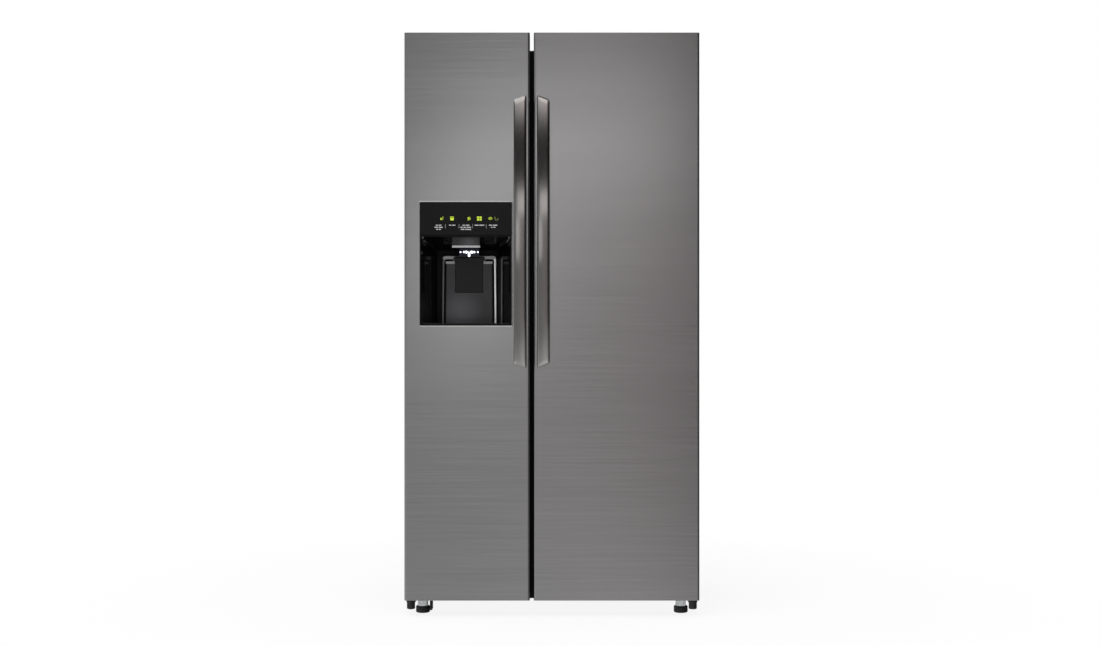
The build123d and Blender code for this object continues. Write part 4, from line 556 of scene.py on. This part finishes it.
def handle_ring(box, side, margin):
    """Outline of the bar, its two long edges parted into rows, with the places where they start."""
    quad = handle_quad(box, side, margin)
    tip = max(handle_tip - margin, handle_least)
    shoulder = max(handle_shoulder - margin, handle_least)
    arcs = []
    for index, radius in enumerate((tip, shoulder, shoulder, tip)):
        after = quad[(index + 1) % len(quad)]
        arcs.append(corner_arc(quad[index - 1], quad[index], after, radius, handle_corner_steps))
    ring = arcs[0] + arcs[1]
    far_start = len(ring) - 1
    ring += [arcs[1][-1].lerp(arcs[2][0], row / handle_rows) for row in range(1, handle_rows)]
    ring += arcs[2] + arcs[3]
    near_start = len(ring) - 1
    ring += [arcs[3][-1].lerp(arcs[0][0], row / handle_rows) for row in range(1, handle_rows)]
    return ring, far_start, near_start


def handle_bow(box, z):
    """Y of the bar's front at a height, on the arc through its middle and its ends."""
    low, high = box
    half = (high[2] - low[2]) / 2 + handle_tip_cut
    rise = handle_end_y - low[1]
    radius = (half * half + rise * rise) / (2 * rise)
    away = z - (low[2] + high[2]) / 2
    return low[1] + radius - math.sqrt(radius * radius - away * away)


def cap_bar(shape, row, far_start, near_start, crown):
    """Closes the bar's front or back between its long edges, a little crowned across."""
    lines = []
    for step in range(handle_rows + 1):
        far = row[far_start + step]
        near = row[(near_start + handle_rows - step) % len(row)]
        line = [far]
        for column in range(1, handle_columns):
            share = column / handle_columns
            point = far.co.lerp(near.co, share)
            point.y -= crown * (1 - (2 * share - 1) ** 2)
            line.append(shape.verts.new(point))
        lines.append(line + [near])
    for first, second in zip(lines, lines[1:]):
        for column in range(handle_columns):
            shape.faces.new((first[column], second[column], second[column + 1], first[column + 1]))
    shape.faces.new(row[1:far_start] + lines[0])
    shape.faces.new(row[far_start + handle_rows + 1:near_start] + lines[-1][::-1])


def build_handle(node, side, body):
    """Bowed bar with rounded edges and its two posts."""
    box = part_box(node)
    shape = bmesh.new()
    steps = quarter(handle_edge_steps)
    profile = []
    for share_in, share_up in reversed(steps):
        profile.append((share_in, handle_thickness - handle_edge * (1 - share_up)))
    for share_in, share_up in steps:
        profile.append((share_in, handle_edge + (handle_crown - handle_edge) * share_up))
    rings = []
    for share_in, behind in profile:
        ring, far_start, near_start = handle_ring(box, side, handle_edge * share_in)
        rings.append([Vector((x, handle_bow(box, z) + behind, z)) for x, z in ring])
    rows = loft(shape, rings, capped=False)
    cap_bar(shape, rows[0], far_start, near_start, 0)
    cap_bar(shape, rows[-1], far_start, near_start, handle_crown)
    low_tip, low_shoulder, high_shoulder, high_tip = handle_quad(box, side, handle_post_margin)
    ends = ((low_tip, low_shoulder, box[0][2], 1), (high_tip, high_shoulder, box[1][2], -1))
    for tip, shoulder, end_z, toward in ends:
        root_z = end_z + toward * handle_post_length
        corners = [tip, shoulder, (shoulder[0], root_z), (tip[0], root_z)]
        outline = rounded_outline(corners, handle_post_round)
        start_y = handle_bow(box, end_z) + handle_thickness / 2
        loft(shape, [[Vector((x, y, z)) for x, z in outline] for y in (start_y, door_y)])
    piece = new_piece(f"{node}_smooth", shape, handle_steel, body)
    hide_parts(node)


build_handle("freezer_handle", -1, "freezer_door")
build_handle("fridge_handle", 1, "fridge_door")


# Dispenser: rolled edge of the steel, frame of the recess, bars, chute lip, beads and lenses
# In millimetres: way in and rise of the trim, radius and height of the drop, offset and radius of lenses
trim_profile = [(0.1, -2.0), (0.1, 0.1), (-0.3, 0.4), (-1.0, 0.5), (-1.8, 0.4), (-2.3, 0.1), (-2.4, -0.2)]
spout_profile = [(2.2, -0.4), (2.9, 0.2), (3.5, 2.0), (3.8, 5.0), (3.6, 8.5), (3.1, 11.0), (2.2, 12.5)]
lens_row = [(0, 4.6), (8.6, 3.9), (15.6, 3.0), (26.5, 2.3)]


def build_dispenser_trim():
    """Thin rolled edge of the door's steel round the dispenser."""
    over_wide, over_tall, corner = 0.6 * mm, 1 * mm, 2 * mm
    shape = bmesh.new()
    low_z, high_z = housing_low[2], fascia_high[2]
    wide = fascia_high[0] - fascia_low[0] + over_wide
    corners = rectangle(recess_x, (low_z + high_z) / 2, wide, high_z - low_z + over_tall)
    outline = rounded_outline(corners, corner)
    surface = on_front(door_y)
    rings = []
    for way_in, rise in trim_profile:
        rings.append([surface(point, rise * mm) for point in inset(outline, way_in * mm)])
    loft(shape, rings, looped=True)
    new_piece("dispenser_trim", shape, trim_steel, "freezer_door")


def build_recess_frame():
    """Black frame that fills the corners between the steel's edge and the rounded recess."""
    rim, inner_corner, outer_corner = 3 * mm, 8 * mm, 1 * mm
    under_fascia, sunk, proud = 0.2 * mm, 1.5 * mm, 0.1 * mm
    shape = bmesh.new()
    low_z, high_z = housing_low[2], fascia_low[2] - under_fascia
    middle_z, tall = (low_z + high_z) / 2, high_z - low_z
    wide = housing_high[0] - housing_low[0]
    outer = rounded_outline(rectangle(recess_x, middle_z, wide, tall), outer_corner)
    inner = rounded_outline(rectangle(recess_x, middle_z, wide - 2 * rim, tall - 2 * rim), inner_corner)
    surface = on_front(door_y)
    profile = [(outer, -sunk), (outer, proud), (inner, proud), (inner, -sunk)]
    loft(shape, [[surface(point, rise) for point in outline] for outline, rise in profile], looped=True)
    new_piece("recess_frame", shape, recess_black, "freezer_door")


def build_pad_bars():
    """Two pale bars at the top of the pad, left and right of the paddle: painted highlight on its top
    edges.
    """
    tall, inner, outer, below = 8 * mm, 44 * mm, 72 * mm, 21 * mm
    corner, rise, edge = 1.5 * mm, 0.5 * mm, 0.4 * mm
    shape = bmesh.new()
    for side in (-1, 1):
        middle_x = pad_x + side * (inner + outer) / 2
        corners = rectangle(middle_x, bar_low[2] - below, outer - inner, tall)
        pillow(shape, rounded_outline(corners, corner), rise, edge, on_front(pad_y))
    new_piece("pad_bars", shape, bar_painted_highlight, "freezer_door")


def build_chute_lip():
    """Pale band round the lower edge of the ice chute: front and two sides, its grey a painted highlight.
    """
    raised, tall, proud, depth = 0.2 * mm, 6.2 * mm, 0.8 * mm, 30 * mm
    front_corner, front_edge = 1 * mm, 0.5 * mm
    side_corner, side_edge = 0.3 * mm, 0.2 * mm
    shape = bmesh.new()
    front_y = chute_low[1]
    wide = chute_high[0] - chute_low[0]
    middle_z = chute_low[2] + raised + tall / 2
    front = rounded_outline(rectangle(recess_x, middle_z, wide + 2 * proud, tall), front_corner)
    pillow(shape, front, proud, front_edge, on_front(front_y))
    for side in (-1, 1):
        x = recess_x + side * (wide / 2 + proud / 2)
        flank = rounded_outline(rectangle(x, middle_z, proud, tall), side_corner)
        pillow(shape, flank, depth, side_edge, on_front(front_y + depth))
    new_piece("chute_lip", shape, lip_painted_highlight, "freezer_door")


def build_corner_beads():
    """Small pale curved beads in the upper corners of the recess, thin at both ends: painted highlights on
    the rounded corners.
    """
    bend, thick, depth = 7.2 * mm, 1.1 * mm, 5 * mm
    from_edge, below_fascia = 13.5 * mm, 10.6 * mm
    first_turn, sweep, count, sides = 15, 60, 13, 12
    shape = bmesh.new()
    for side in (-1, 1):
        edge_x = fascia_high[0] if side > 0 else fascia_low[0]
        center = Vector((edge_x - side * from_edge, door_y + depth, fascia_low[2] - below_fascia))
        rings = []
        for step in range(count):
            turn = math.radians(first_turn + sweep * step / (count - 1))
            outward = Vector((side * math.cos(turn), 0, math.sin(turn)))
            swell = thick * math.sin(math.pi * (step + 0.5) / count)
            section = circle(0, 0, swell, sides)
            rings.append([center + outward * (bend + u) + Vector((0, v, 0)) for u, v in section])
        loft(shape, rings)
    new_piece("recess_corner_beads", shape, lip_painted_highlight, "freezer_door")


def build_lenses():
    """Row of light lenses on the lamp bar under the chute, half as high as their radius."""
    shape = bmesh.new()
    middle_z = (bar_low[2] + chute_low[2]) / 2
    surface = on_front(bar_low[1])
    for offset, radius in lens_row:
        for x in sorted({pad_x - offset * mm, pad_x + offset * mm}):
            dome(shape, x, middle_z, radius * mm, radius * mm / 2, surface)
    new_piece("dispenser_lenses", shape, led_white, "freezer_door")


def build_spout_lens():
    """Lit drop-shaped lens round the end of the water spout."""
    shape = bmesh.new()
    low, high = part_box("water_spout")
    x, y = (low[0] + high[0]) / 2, (low[1] + high[1]) / 2
    surface = on_top(low[2])
    rings = []
    for radius, height in spout_profile:
        rings.append([surface(point, height * mm) for point in circle(x, y, radius * mm)])
    loft(shape, rings)
    new_piece("spout_lens", shape, spout_glow, "freezer_door")


build_dispenser_trim()
build_recess_frame()
build_pad_bars()
build_spout_lens()
build_chute_lip()
build_corner_beads()
build_lenses()

# Control panel: lit signs on the fascia, printed marks on the keys, thin lines between them
sign_z = 1206.8 * mm
sign_rise = 0.2 * mm
sign_edge = 0.1 * mm
sign_corner = 0.4 * mm
mark_top = 1186.6 * mm
mark_pitch = 6.3 * mm
mark_height = 3.0 * mm
mark_space = 1.8 * mm
mark_corner = 1.2 * mm
line_tall = 12 * mm
line_wide = 0.8 * mm
line_corner = 0.32 * mm

# Figures of the signs: outlines in millimetres about the sign's middle
tumbler = [rectangle(0, 5, 12, 1.6), [(-4.6, -5.6), (4.6, -5.6), (6, 2.6), (-6, 2.6)]]
cubes = [rectangle(u, v, 6.4, 5.6) for u in (-3.8, 3.8) for v in (-3.4, 3.4)]
chips = [[(-5, 1), (-2, -2), (0.5, 1.5), (-2, 5)], [(1, -4.5), (4.5, -3), (4, 2), (0.8, 1)],
         [(-4, -5.5), (-0.6, -5.8), (-1, -2.8), (-3.6, -2.4)], [(0.6, 2.6), (4, 3), (2.4, 6)]]
water_drop = [[(-4.6, -3), (-2, -5), (0.4, -3), (-0.4, 0.5), (-2, 3.6), (-3.8, 0.5)],
              rectangle(3.4, 0.6, 1.6, 10.4)]
beam = [[(-7, 0), (0, -4.8), (0, -3), (-4.4, 0)], [(0.6, -3), (0.6, -4.8), (7, 0), (4.6, 0)],
        [(-7, 0.6), (-4.4, 0.6), (0, 3.4), (0, 5.2)], [(0.6, 5.2), (0.6, 3.4), (4.6, 0.6), (7, 0.6)],
        rectangle(0.2, 0.2, 2.6, 2.6)]
clock = [rectangle(-3.6, 1.6, 1.6, 7.6), rectangle(0.8, -4.4, 7.8, 1.6), rectangle(5.4, -1.2, 1.6, 4.4)]

# Signs from left to right, by the place of their middle in millimetres
lit_signs = [(-333.5, water_drop, icon_green), (-302.4, tumbler, icon_green), (-251.0, chips, icon_green),
             (-219.6, cubes, icon_green), (-186.3, beam, icon_green), (-168.6, clock, icon_dim)]

# Lengths in millimetres of the dashes on each key, line by line
mark_lines = [[(7, 9), (11, 12), (6, 7)], [(8, 10)], [(8, 12), (7, 9, 13), (12, 18)], [(12, 15)],
              [(10, 14), (6, 6)]]


def print_mark(shape, corners, corner, y):
    """Thin raised mark on a surface that faces the front."""
    pillow(shape, rounded_outline(corners, corner), sign_rise, sign_edge, on_front(y))


def build_signs():
    """Small lit signs above the keys."""
    for number, (x, outlines, material) in enumerate(lit_signs, start=1):
        shape = bmesh.new()
        for outline in outlines:
            corners = [(x * mm + u * mm, sign_z + v * mm) for u, v in outline]
            print_mark(shape, corners, sign_corner, fascia_low[1])
        new_piece(f"lit_sign_{number}", shape, material, "freezer_door")


def build_marks():
    """Plain dashes on each key, in the place of its words."""
    for number, lines in enumerate(mark_lines, start=1):
        low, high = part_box(f"control_button_{number}")
        middle = (low[0] + high[0]) / 2
        shape = bmesh.new()
        for row, dashes in enumerate(lines):
            z = mark_top - row * mark_pitch
            x = middle - (sum(dashes) * mm + (len(dashes) - 1) * mark_space) / 2
            for dash in dashes:
                corners = rectangle(x + dash * mm / 2, z, dash * mm, mark_height)
                print_mark(shape, corners, mark_corner, low[1])
                x += dash * mm + mark_space
        new_piece(f"key_marks_{number}", shape, label_grey, f"control_button_{number}")


def build_key_lines():
    """Thin upright lines between the keys."""
    shape = bmesh.new()
    for number in range(1, len(mark_lines)):
        left_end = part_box(f"control_button_{number}")[1][0]
        right_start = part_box(f"control_button_{number + 1}")[0][0]
        middle_z = mark_top - mark_pitch / 2
        corners = rectangle((left_end + right_start) / 2, middle_z, line_wide, line_tall)
        print_mark(shape, corners, line_corner, fascia_low[1])
    new_piece("key_lines", shape, label_grey, "freezer_door")


build_signs()
build_marks()
build_key_lines()


# Screws and foot guard
def spaced(first, last, count):
    """Places in even steps from the first to the last."""
    return [first + (last - first) * index / (count - 1) for index in range(count)]


def build_screws():
    """Pan head screws round the rear panel and the machine room's cover, and on the hinge covers."""
    radius, rise, margin = 4.2 * mm, 2.2 * mm, 12 * mm
    panel_lip, hinge_inset = 3 * mm, 36 * mm
    panel_rows, panel_columns, cover_columns = 6, 5, 4
    shape = bmesh.new()
    low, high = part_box("back_panel")
    surface = on_back(high[1] - panel_lip)
    for x in (low[0] + margin, high[0] - margin):
        for z in spaced(low[2] + margin, high[2] - margin, panel_rows):
            screw(shape, x, z, radius, rise, surface)
    for x in spaced(low[0], high[0], panel_columns)[1:-1]:
        screw(shape, x, high[2] - margin, radius, rise, surface)
    low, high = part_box("machine_cover")
    surface = on_back(high[1])
    for z in (low[2] + margin, high[2] - margin):
        for x in spaced(low[0] + margin, high[0] - margin, cover_columns):
            screw(shape, x, z, radius, rise, surface)
    low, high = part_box("hinge_covers")
    surface = on_top(high[2])
    for side in (-1, 1):
        screw(shape, side * (high[0] - hinge_inset), (low[1] + high[1]) / 2, radius, rise, surface)
    new_piece("screws", shape, zinc_steel, "cabinet")


def build_foot_guard():
    """Black guard beside the left foot, hanging from the base."""
    thick, gap, depth, above_floor = 8 * mm, 0.8 * mm, 30 * mm, 9 * mm
    corner, edge = 3 * mm, 1.5 * mm
    shape = bmesh.new()
    pad_low, pad_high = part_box("leveling_leg_left")
    base_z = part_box("base_pan")[0][2]
    x = pad_high[0] + gap + thick / 2
    corners = rectangle(x, (above_floor + base_z) / 2, thick, base_z - above_floor)
    pillow(shape, rounded_outline(corners, corner), depth, edge, on_front(pad_low[1] + depth))
    new_piece("foot_guard", shape, black_rubber, "cabinet")


build_screws()
build_foot_guard()

# Limits of the faces that have another finish than the rest of their piece
faces_side = 0.7
faces_front = 0.9
front_slack = 1 * mm
pad_depth = 15 * mm
recess_depth = 17 * mm
rim_half = 84.5 * mm
rim_width = 8 * mm
rim_drop = 10 * mm
rim_inner = rim_half - rim_width
rim_top = bar_low[2] - rim_drop
bar_inner = 46 * mm
bar_tall = 12 * mm
bar_bottom = bar_low[2] - bar_tall
wall_half = 90 * mm
wall_depth = 14 * mm
shelf_trim = 12 * mm
inlet_length = 18 * mm
axle_radius = 6 * mm
collar_low = 21.2 * mm
collar_high = 44.8 * mm
cabinet_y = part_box("outer_case")[0][1]
shelf_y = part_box("fridge_shelves")[0][1]
inlet_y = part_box("water_valve")[1][1] - inlet_length
roller_low, roller_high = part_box("rear_roller_left")
roller_y = (roller_low[1] + roller_high[1]) / 2
roller_z = (roller_low[2] + roller_high[2]) / 2


# Rules for those faces
def pad_face(center, normal):
    """Pad and rim at the back of the dispenser."""
    stands_out = pad_y - front_slack < center.y < pad_y + pad_depth
    return stands_out and abs(center.x - pad_x) < rim_half and center.z < bar_low[2]


def bar_face(center, normal):
    """Bars of the rim, left and right of the paddle, in a pale grey that paints a highlight."""
    return pad_face(center, normal) and abs(center.x - pad_x) > bar_inner and center.z > bar_bottom


def left_rim_face(center, normal):
    """Left side of the rim, in a darker grey that paints shade."""
    return pad_face(center, normal) and center.x < pad_x - rim_inner and center.z < rim_top


def right_rim_face(center, normal):
    """Right side of the rim, in a pale grey that paints a highlight."""
    return pad_face(center, normal) and center.x > pad_x + rim_inner and center.z < rim_top


def recess_back_face(center, normal):
    """Back of the recess behind the pad."""
    return normal.y < -faces_front and pad_y + pad_depth < center.y < pad_y + recess_depth


def recess_wall_face(center, normal):
    """Glossy side wall of the recess."""
    outside = abs(center.x - recess_x) > wall_half and center.y < pad_y + wall_depth
    return outside and abs(normal.x) > faces_side


def cabinet_front_face(center, normal):
    """Front of the cabinet, in the gap between the doors and behind them, painted near black as the shade
    in the gap.
    """
    return normal.y < -faces_front and center.y < cabinet_y + front_slack


def shelf_trim_face(center, normal):
    """Moulded trim along the front of a shelf."""
    return center.y < shelf_y + shelf_trim


def inlet_face(center, normal):
    """Threaded inlet of the water valve."""
    return center.y > inlet_y


def axle_face(center, normal):
    """Steel axle of a roller, at both ends of the wheel."""
    return math.hypot(center.y - roller_y, center.z - roller_z) < axle_radius


def collar_face(center, normal):
    """White collar of a screw foot."""
    return collar_low < center.z < collar_high


def stud_face(center, normal):
    """Threaded stud of a screw foot."""
    return center.z >= collar_high


face_finishes = [
    ("dispenser_housing", pad_black, pad_face),
    ("dispenser_housing", bar_painted_highlight, bar_face),
    ("dispenser_housing", rim_painted_shade, left_rim_face),
    ("dispenser_housing", rim_painted_highlight, right_rim_face),
    ("dispenser_housing", deep_black, recess_back_face),
    ("dispenser_housing", wall_black, recess_wall_face),
    ("leveling_leg_left", collar_white, collar_face),
    ("leveling_leg_left", zinc_steel, stud_face),
    ("leveling_leg_right", collar_white, collar_face),
    ("leveling_leg_right", zinc_steel, stud_face),
    ("outer_case", gap_painted_shade, cabinet_front_face),
    ("base_pan", gap_painted_shade, cabinet_front_face),
    ("freezer_shelves", trim_plastic, shelf_trim_face),
    ("fridge_shelves", trim_plastic, shelf_trim_face),
    ("water_valve", brass, inlet_face),
    ("rear_roller_left", zinc_steel, axle_face),
    ("rear_roller_right", zinc_steel, axle_face),
]
for name, material, belongs in face_finishes:
    patch(name, material, belongs)

# Pale patches on the chute and the pad, as the lamp bar's light leaves them in the photograph
chute_patch = (recess_x + 8 * mm, chute_low[1], chute_low[2] + 16 * mm)
pad_patch = (pad_x - 26 * mm, pad_y, housing_low[2] + 45 * mm)
painted_light_patch(chute_grey, chute_patch, reach=38 * mm, colour=(0.045, 0.045, 0.047))
painted_light_patch(pad_black, pad_patch, reach=80 * mm, colour=(0.05, 0.05, 0.056))

# Studio: pale floor with the shadow, which turns into plain white further out
white = (1.0, 1.0, 1.0)
floor_radius = 14.0
floor_sides = 96
floor_grain = 3.0
floor_detail = 2.0
floor_dark = 0.86
floor_light = 0.9
floor_rough = 0.9
shadow_inner = 0.5
shadow_outer = 1.8
shadow_white = 0.87

# Surroundings: even light, and what reflections show by degrees up and by degrees to the right
even_light = 0.6
studio_strength = 1.4
warm_side = (1.08, 0.97, 0.99)
warm_reach = 6
ground_from = (-10, -11.5)
studio_bands = [(-90, 0.9), (-22, 0.95), (-16, 0.7), (-12, 0.36), (-5, 0.32), (-1.5, 0.31), (1, 0.34),
                (3, 0.37), (6, 0.37), (8, 0.34), (10, 0.24), (11.5, 0.08), (16.5, 0.05), (19, 0.17),
                (21, 0.6), (23.5, 1.4), (28, 1.75), (90, 1.75)]
wall_sides = [(-90, 0.3), (-75, 0.5), (-60, 1.8), (-45, 1.8), (-25, 1.5), (-10, 1.0), (-5, 1.1),
              (-3.6, 1.2), (-1.8, 1.23), (-0.4, 1.28), (1.5, 1.37), (3, 1.5), (4, 1.32), (5.5, 0.6),
              (8, 0.2), (13, 0.18), (20, 0.25), (35, 0.42), (50, 0.3), (65, 0.1), (90, 0.08)]
ground_sides = [(-90, 0.3), (-75, 0.5), (-60, 1.8), (-45, 1.8), (-25, 1.5), (-10, 1.0), (-1, 1.0),
                (0.6, 1.6), (4, 1.6), (7, 0.9), (35, 0.9), (50, 0.7), (65, 0.15), (90, 0.08)]


def floor_material():
    """Pale floor that keeps the shadow and reads as white to the camera."""
    material, shader = new_material("floor_pale")
    tree = material.node_tree
    grain = noise(tree, [floor_grain] * 3, floor_detail)
    pale = shades(tree, grain, [(noise_low, (floor_dark,) * 3), (noise_high, (floor_light,) * 3)])
    connect(tree, pale, shader.inputs["Base Color"])
    shader.inputs["Roughness"].default_value = floor_rough
    plain = add(tree, "Emission", {"Color": (*white, 1.0), "Strength": 1.0}).outputs[0]
    place = add(tree, "TexCoord").outputs["Object"]
    away = add(tree, "VectorMath", {0: place}, operation="LENGTH").outputs["Value"]
    fade = {"Value": away, "From Min": shadow_inner, "From Max": shadow_outer,
            "To Min": shadow_white, "To Max": 1.0}
    faded = add(tree, "MapRange", fade).outputs["Result"]
    seen = add(tree, "LightPath").outputs["Is Camera Ray"]
    share = add(tree, "Math", {0: seen, 1: faded}, operation="MULTIPLY").outputs[0]
    mixed = add(tree, "MixShader", {0: share, 1: shader.outputs[0], 2: plain}).outputs[0]
    tree.links.new(mixed, tree.nodes["Material Output"].inputs["Surface"])
    return material


def build_floor():
    """Round floor, far larger than the object."""
    mesh = bpy.data.meshes.new("floor")
    shape = bmesh.new()
    bmesh.ops.create_circle(shape, cap_ends=True, radius=floor_radius, segments=floor_sides)
    shape.to_mesh(mesh)
    shape.free()
    mesh.materials.append(floor_material())
    floor = bpy.data.objects.new("floor", mesh)
    floor.visible_glossy = False
    bpy.context.scene.collection.objects.link(floor)


def by_angle(tree, component, steps, tint):
    """Brightness by an angle, read from one component of a direction, tinted just above zero degrees."""
    span = {"Value": component, "From Min": -1.0, "From Max": 1.0}
    level = add(tree, "MapRange", span).outputs["Result"]
    stops = []
    for angle, brightness in steps:
        colour = scaled(tint if 0 < angle < warm_reach else white, brightness / studio_strength)
        stops.append(((math.sin(math.radians(angle)) + 1) / 2, colour))
    return shades(tree, level, stops)


def studio_room(tree):
    """What reflections show: bands by height, times the sides of the walls or, lower, of the ground."""
    direction = add(tree, "TexCoord").outputs["Generated"]
    apart = add(tree, "SeparateXYZ", {0: direction})
    bands = by_angle(tree, apart.outputs["Z"], studio_bands, white)
    walls = by_angle(tree, apart.outputs["X"], wall_sides, warm_side)
    ground = by_angle(tree, apart.outputs["X"], ground_sides, white)
    start, full = (math.sin(math.radians(angle)) for angle in ground_from)
    fade = {"Value": apart.outputs["Z"], "From Min": start, "From Max": full}
    below = add(tree, "MapRange", fade).outputs["Result"]
    return mix(tree, "MULTIPLY", 1.0, bands, mix(tree, "MIX", below, walls, ground))


def build_world():
    """White to the camera and through glass, a soft studio in reflections, even light otherwise."""
    world = bpy.data.worlds.new("studio")
    world.use_nodes = True
    tree = world.node_tree
    tree.nodes.clear()
    room = studio_room(tree)
    seen = add(tree, "Background", {"Color": (*white, 1.0), "Strength": 1.0}).outputs[0]
    mirrored = add(tree, "Background", {"Color": room, "Strength": studio_strength}).outputs[0]
    even = add(tree, "Background", {"Color": (*white, 1.0), "Strength": even_light}).outputs[0]
    path = add(tree, "LightPath")
    inner = add(tree, "MixShader", {0: path.outputs["Is Glossy Ray"], 1: even, 2: mirrored}).outputs[0]
    straight = {0: path.outputs["Is Camera Ray"], 1: path.outputs["Is Transmission Ray"]}
    clear = add(tree, "Math", straight, operation="MAXIMUM").outputs[0]
    outer = add(tree, "MixShader", {0: clear, 1: inner, 2: seen}).outputs[0]
    output = add(tree, "OutputWorld")
    tree.links.new(outer, output.inputs["Surface"])
    bpy.context.scene.world = world


def area_lamp(name, place, target, size, energy, mirrored=True):
    """Rectangular soft lamp aimed at a point, seen in reflections or left out of them."""
    data = bpy.data.lights.new(name, "AREA")
    data.shape = "RECTANGLE"
    data.size, data.size_y = size
    data.energy = energy
    lamp = bpy.data.objects.new(name, data)
    lamp.location = place
    lamp.rotation_euler = (Vector(target) - Vector(place)).to_track_quat("-Z", "Y").to_euler()
    lamp.visible_glossy = mirrored
    bpy.context.scene.collection.objects.link(lamp)


def build_camera():
    """Camera straight in front of the doors."""
    front_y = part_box("fridge_door_skin")[0][1]
    data = bpy.data.cameras.new("camera")
    data.sensor_width = sensor_width
    data.lens = sensor_width * camera_distance / picture_width_at_doors
    camera = bpy.data.objects.new("camera", data)
    camera.location = (camera_x, front_y - camera_distance, camera_z)
    camera.rotation_euler = (camera_level, 0, 0)
    bpy.context.scene.collection.objects.link(camera)
    bpy.context.scene.camera = camera


build_floor()
build_world()
area_lamp("key_lamp", place=(-0.6, -2.6, 4.6), target=(0, 0, 0.9), size=(3.2, 3.2), energy=130.0,
          mirrored=False)
area_lamp("high_lamp", place=(0.2, -12.4, 2.82), target=(0, 0, 1.1), size=(2.3, 0.8), energy=4.2)
area_lamp("left_lamp", place=(-0.86, -12.4, 1.58), target=(-0.2, 0, 1.1), size=(0.9, 1.4), energy=3.0)
area_lamp("low_lamp", place=(0, -2.4, 0.3), target=(0, -0.2, 0.04), size=(2.4, 0.4), energy=9.0,
          mirrored=False)
build_camera()

bpy.context.scene.view_settings.view_transform = "Standard"
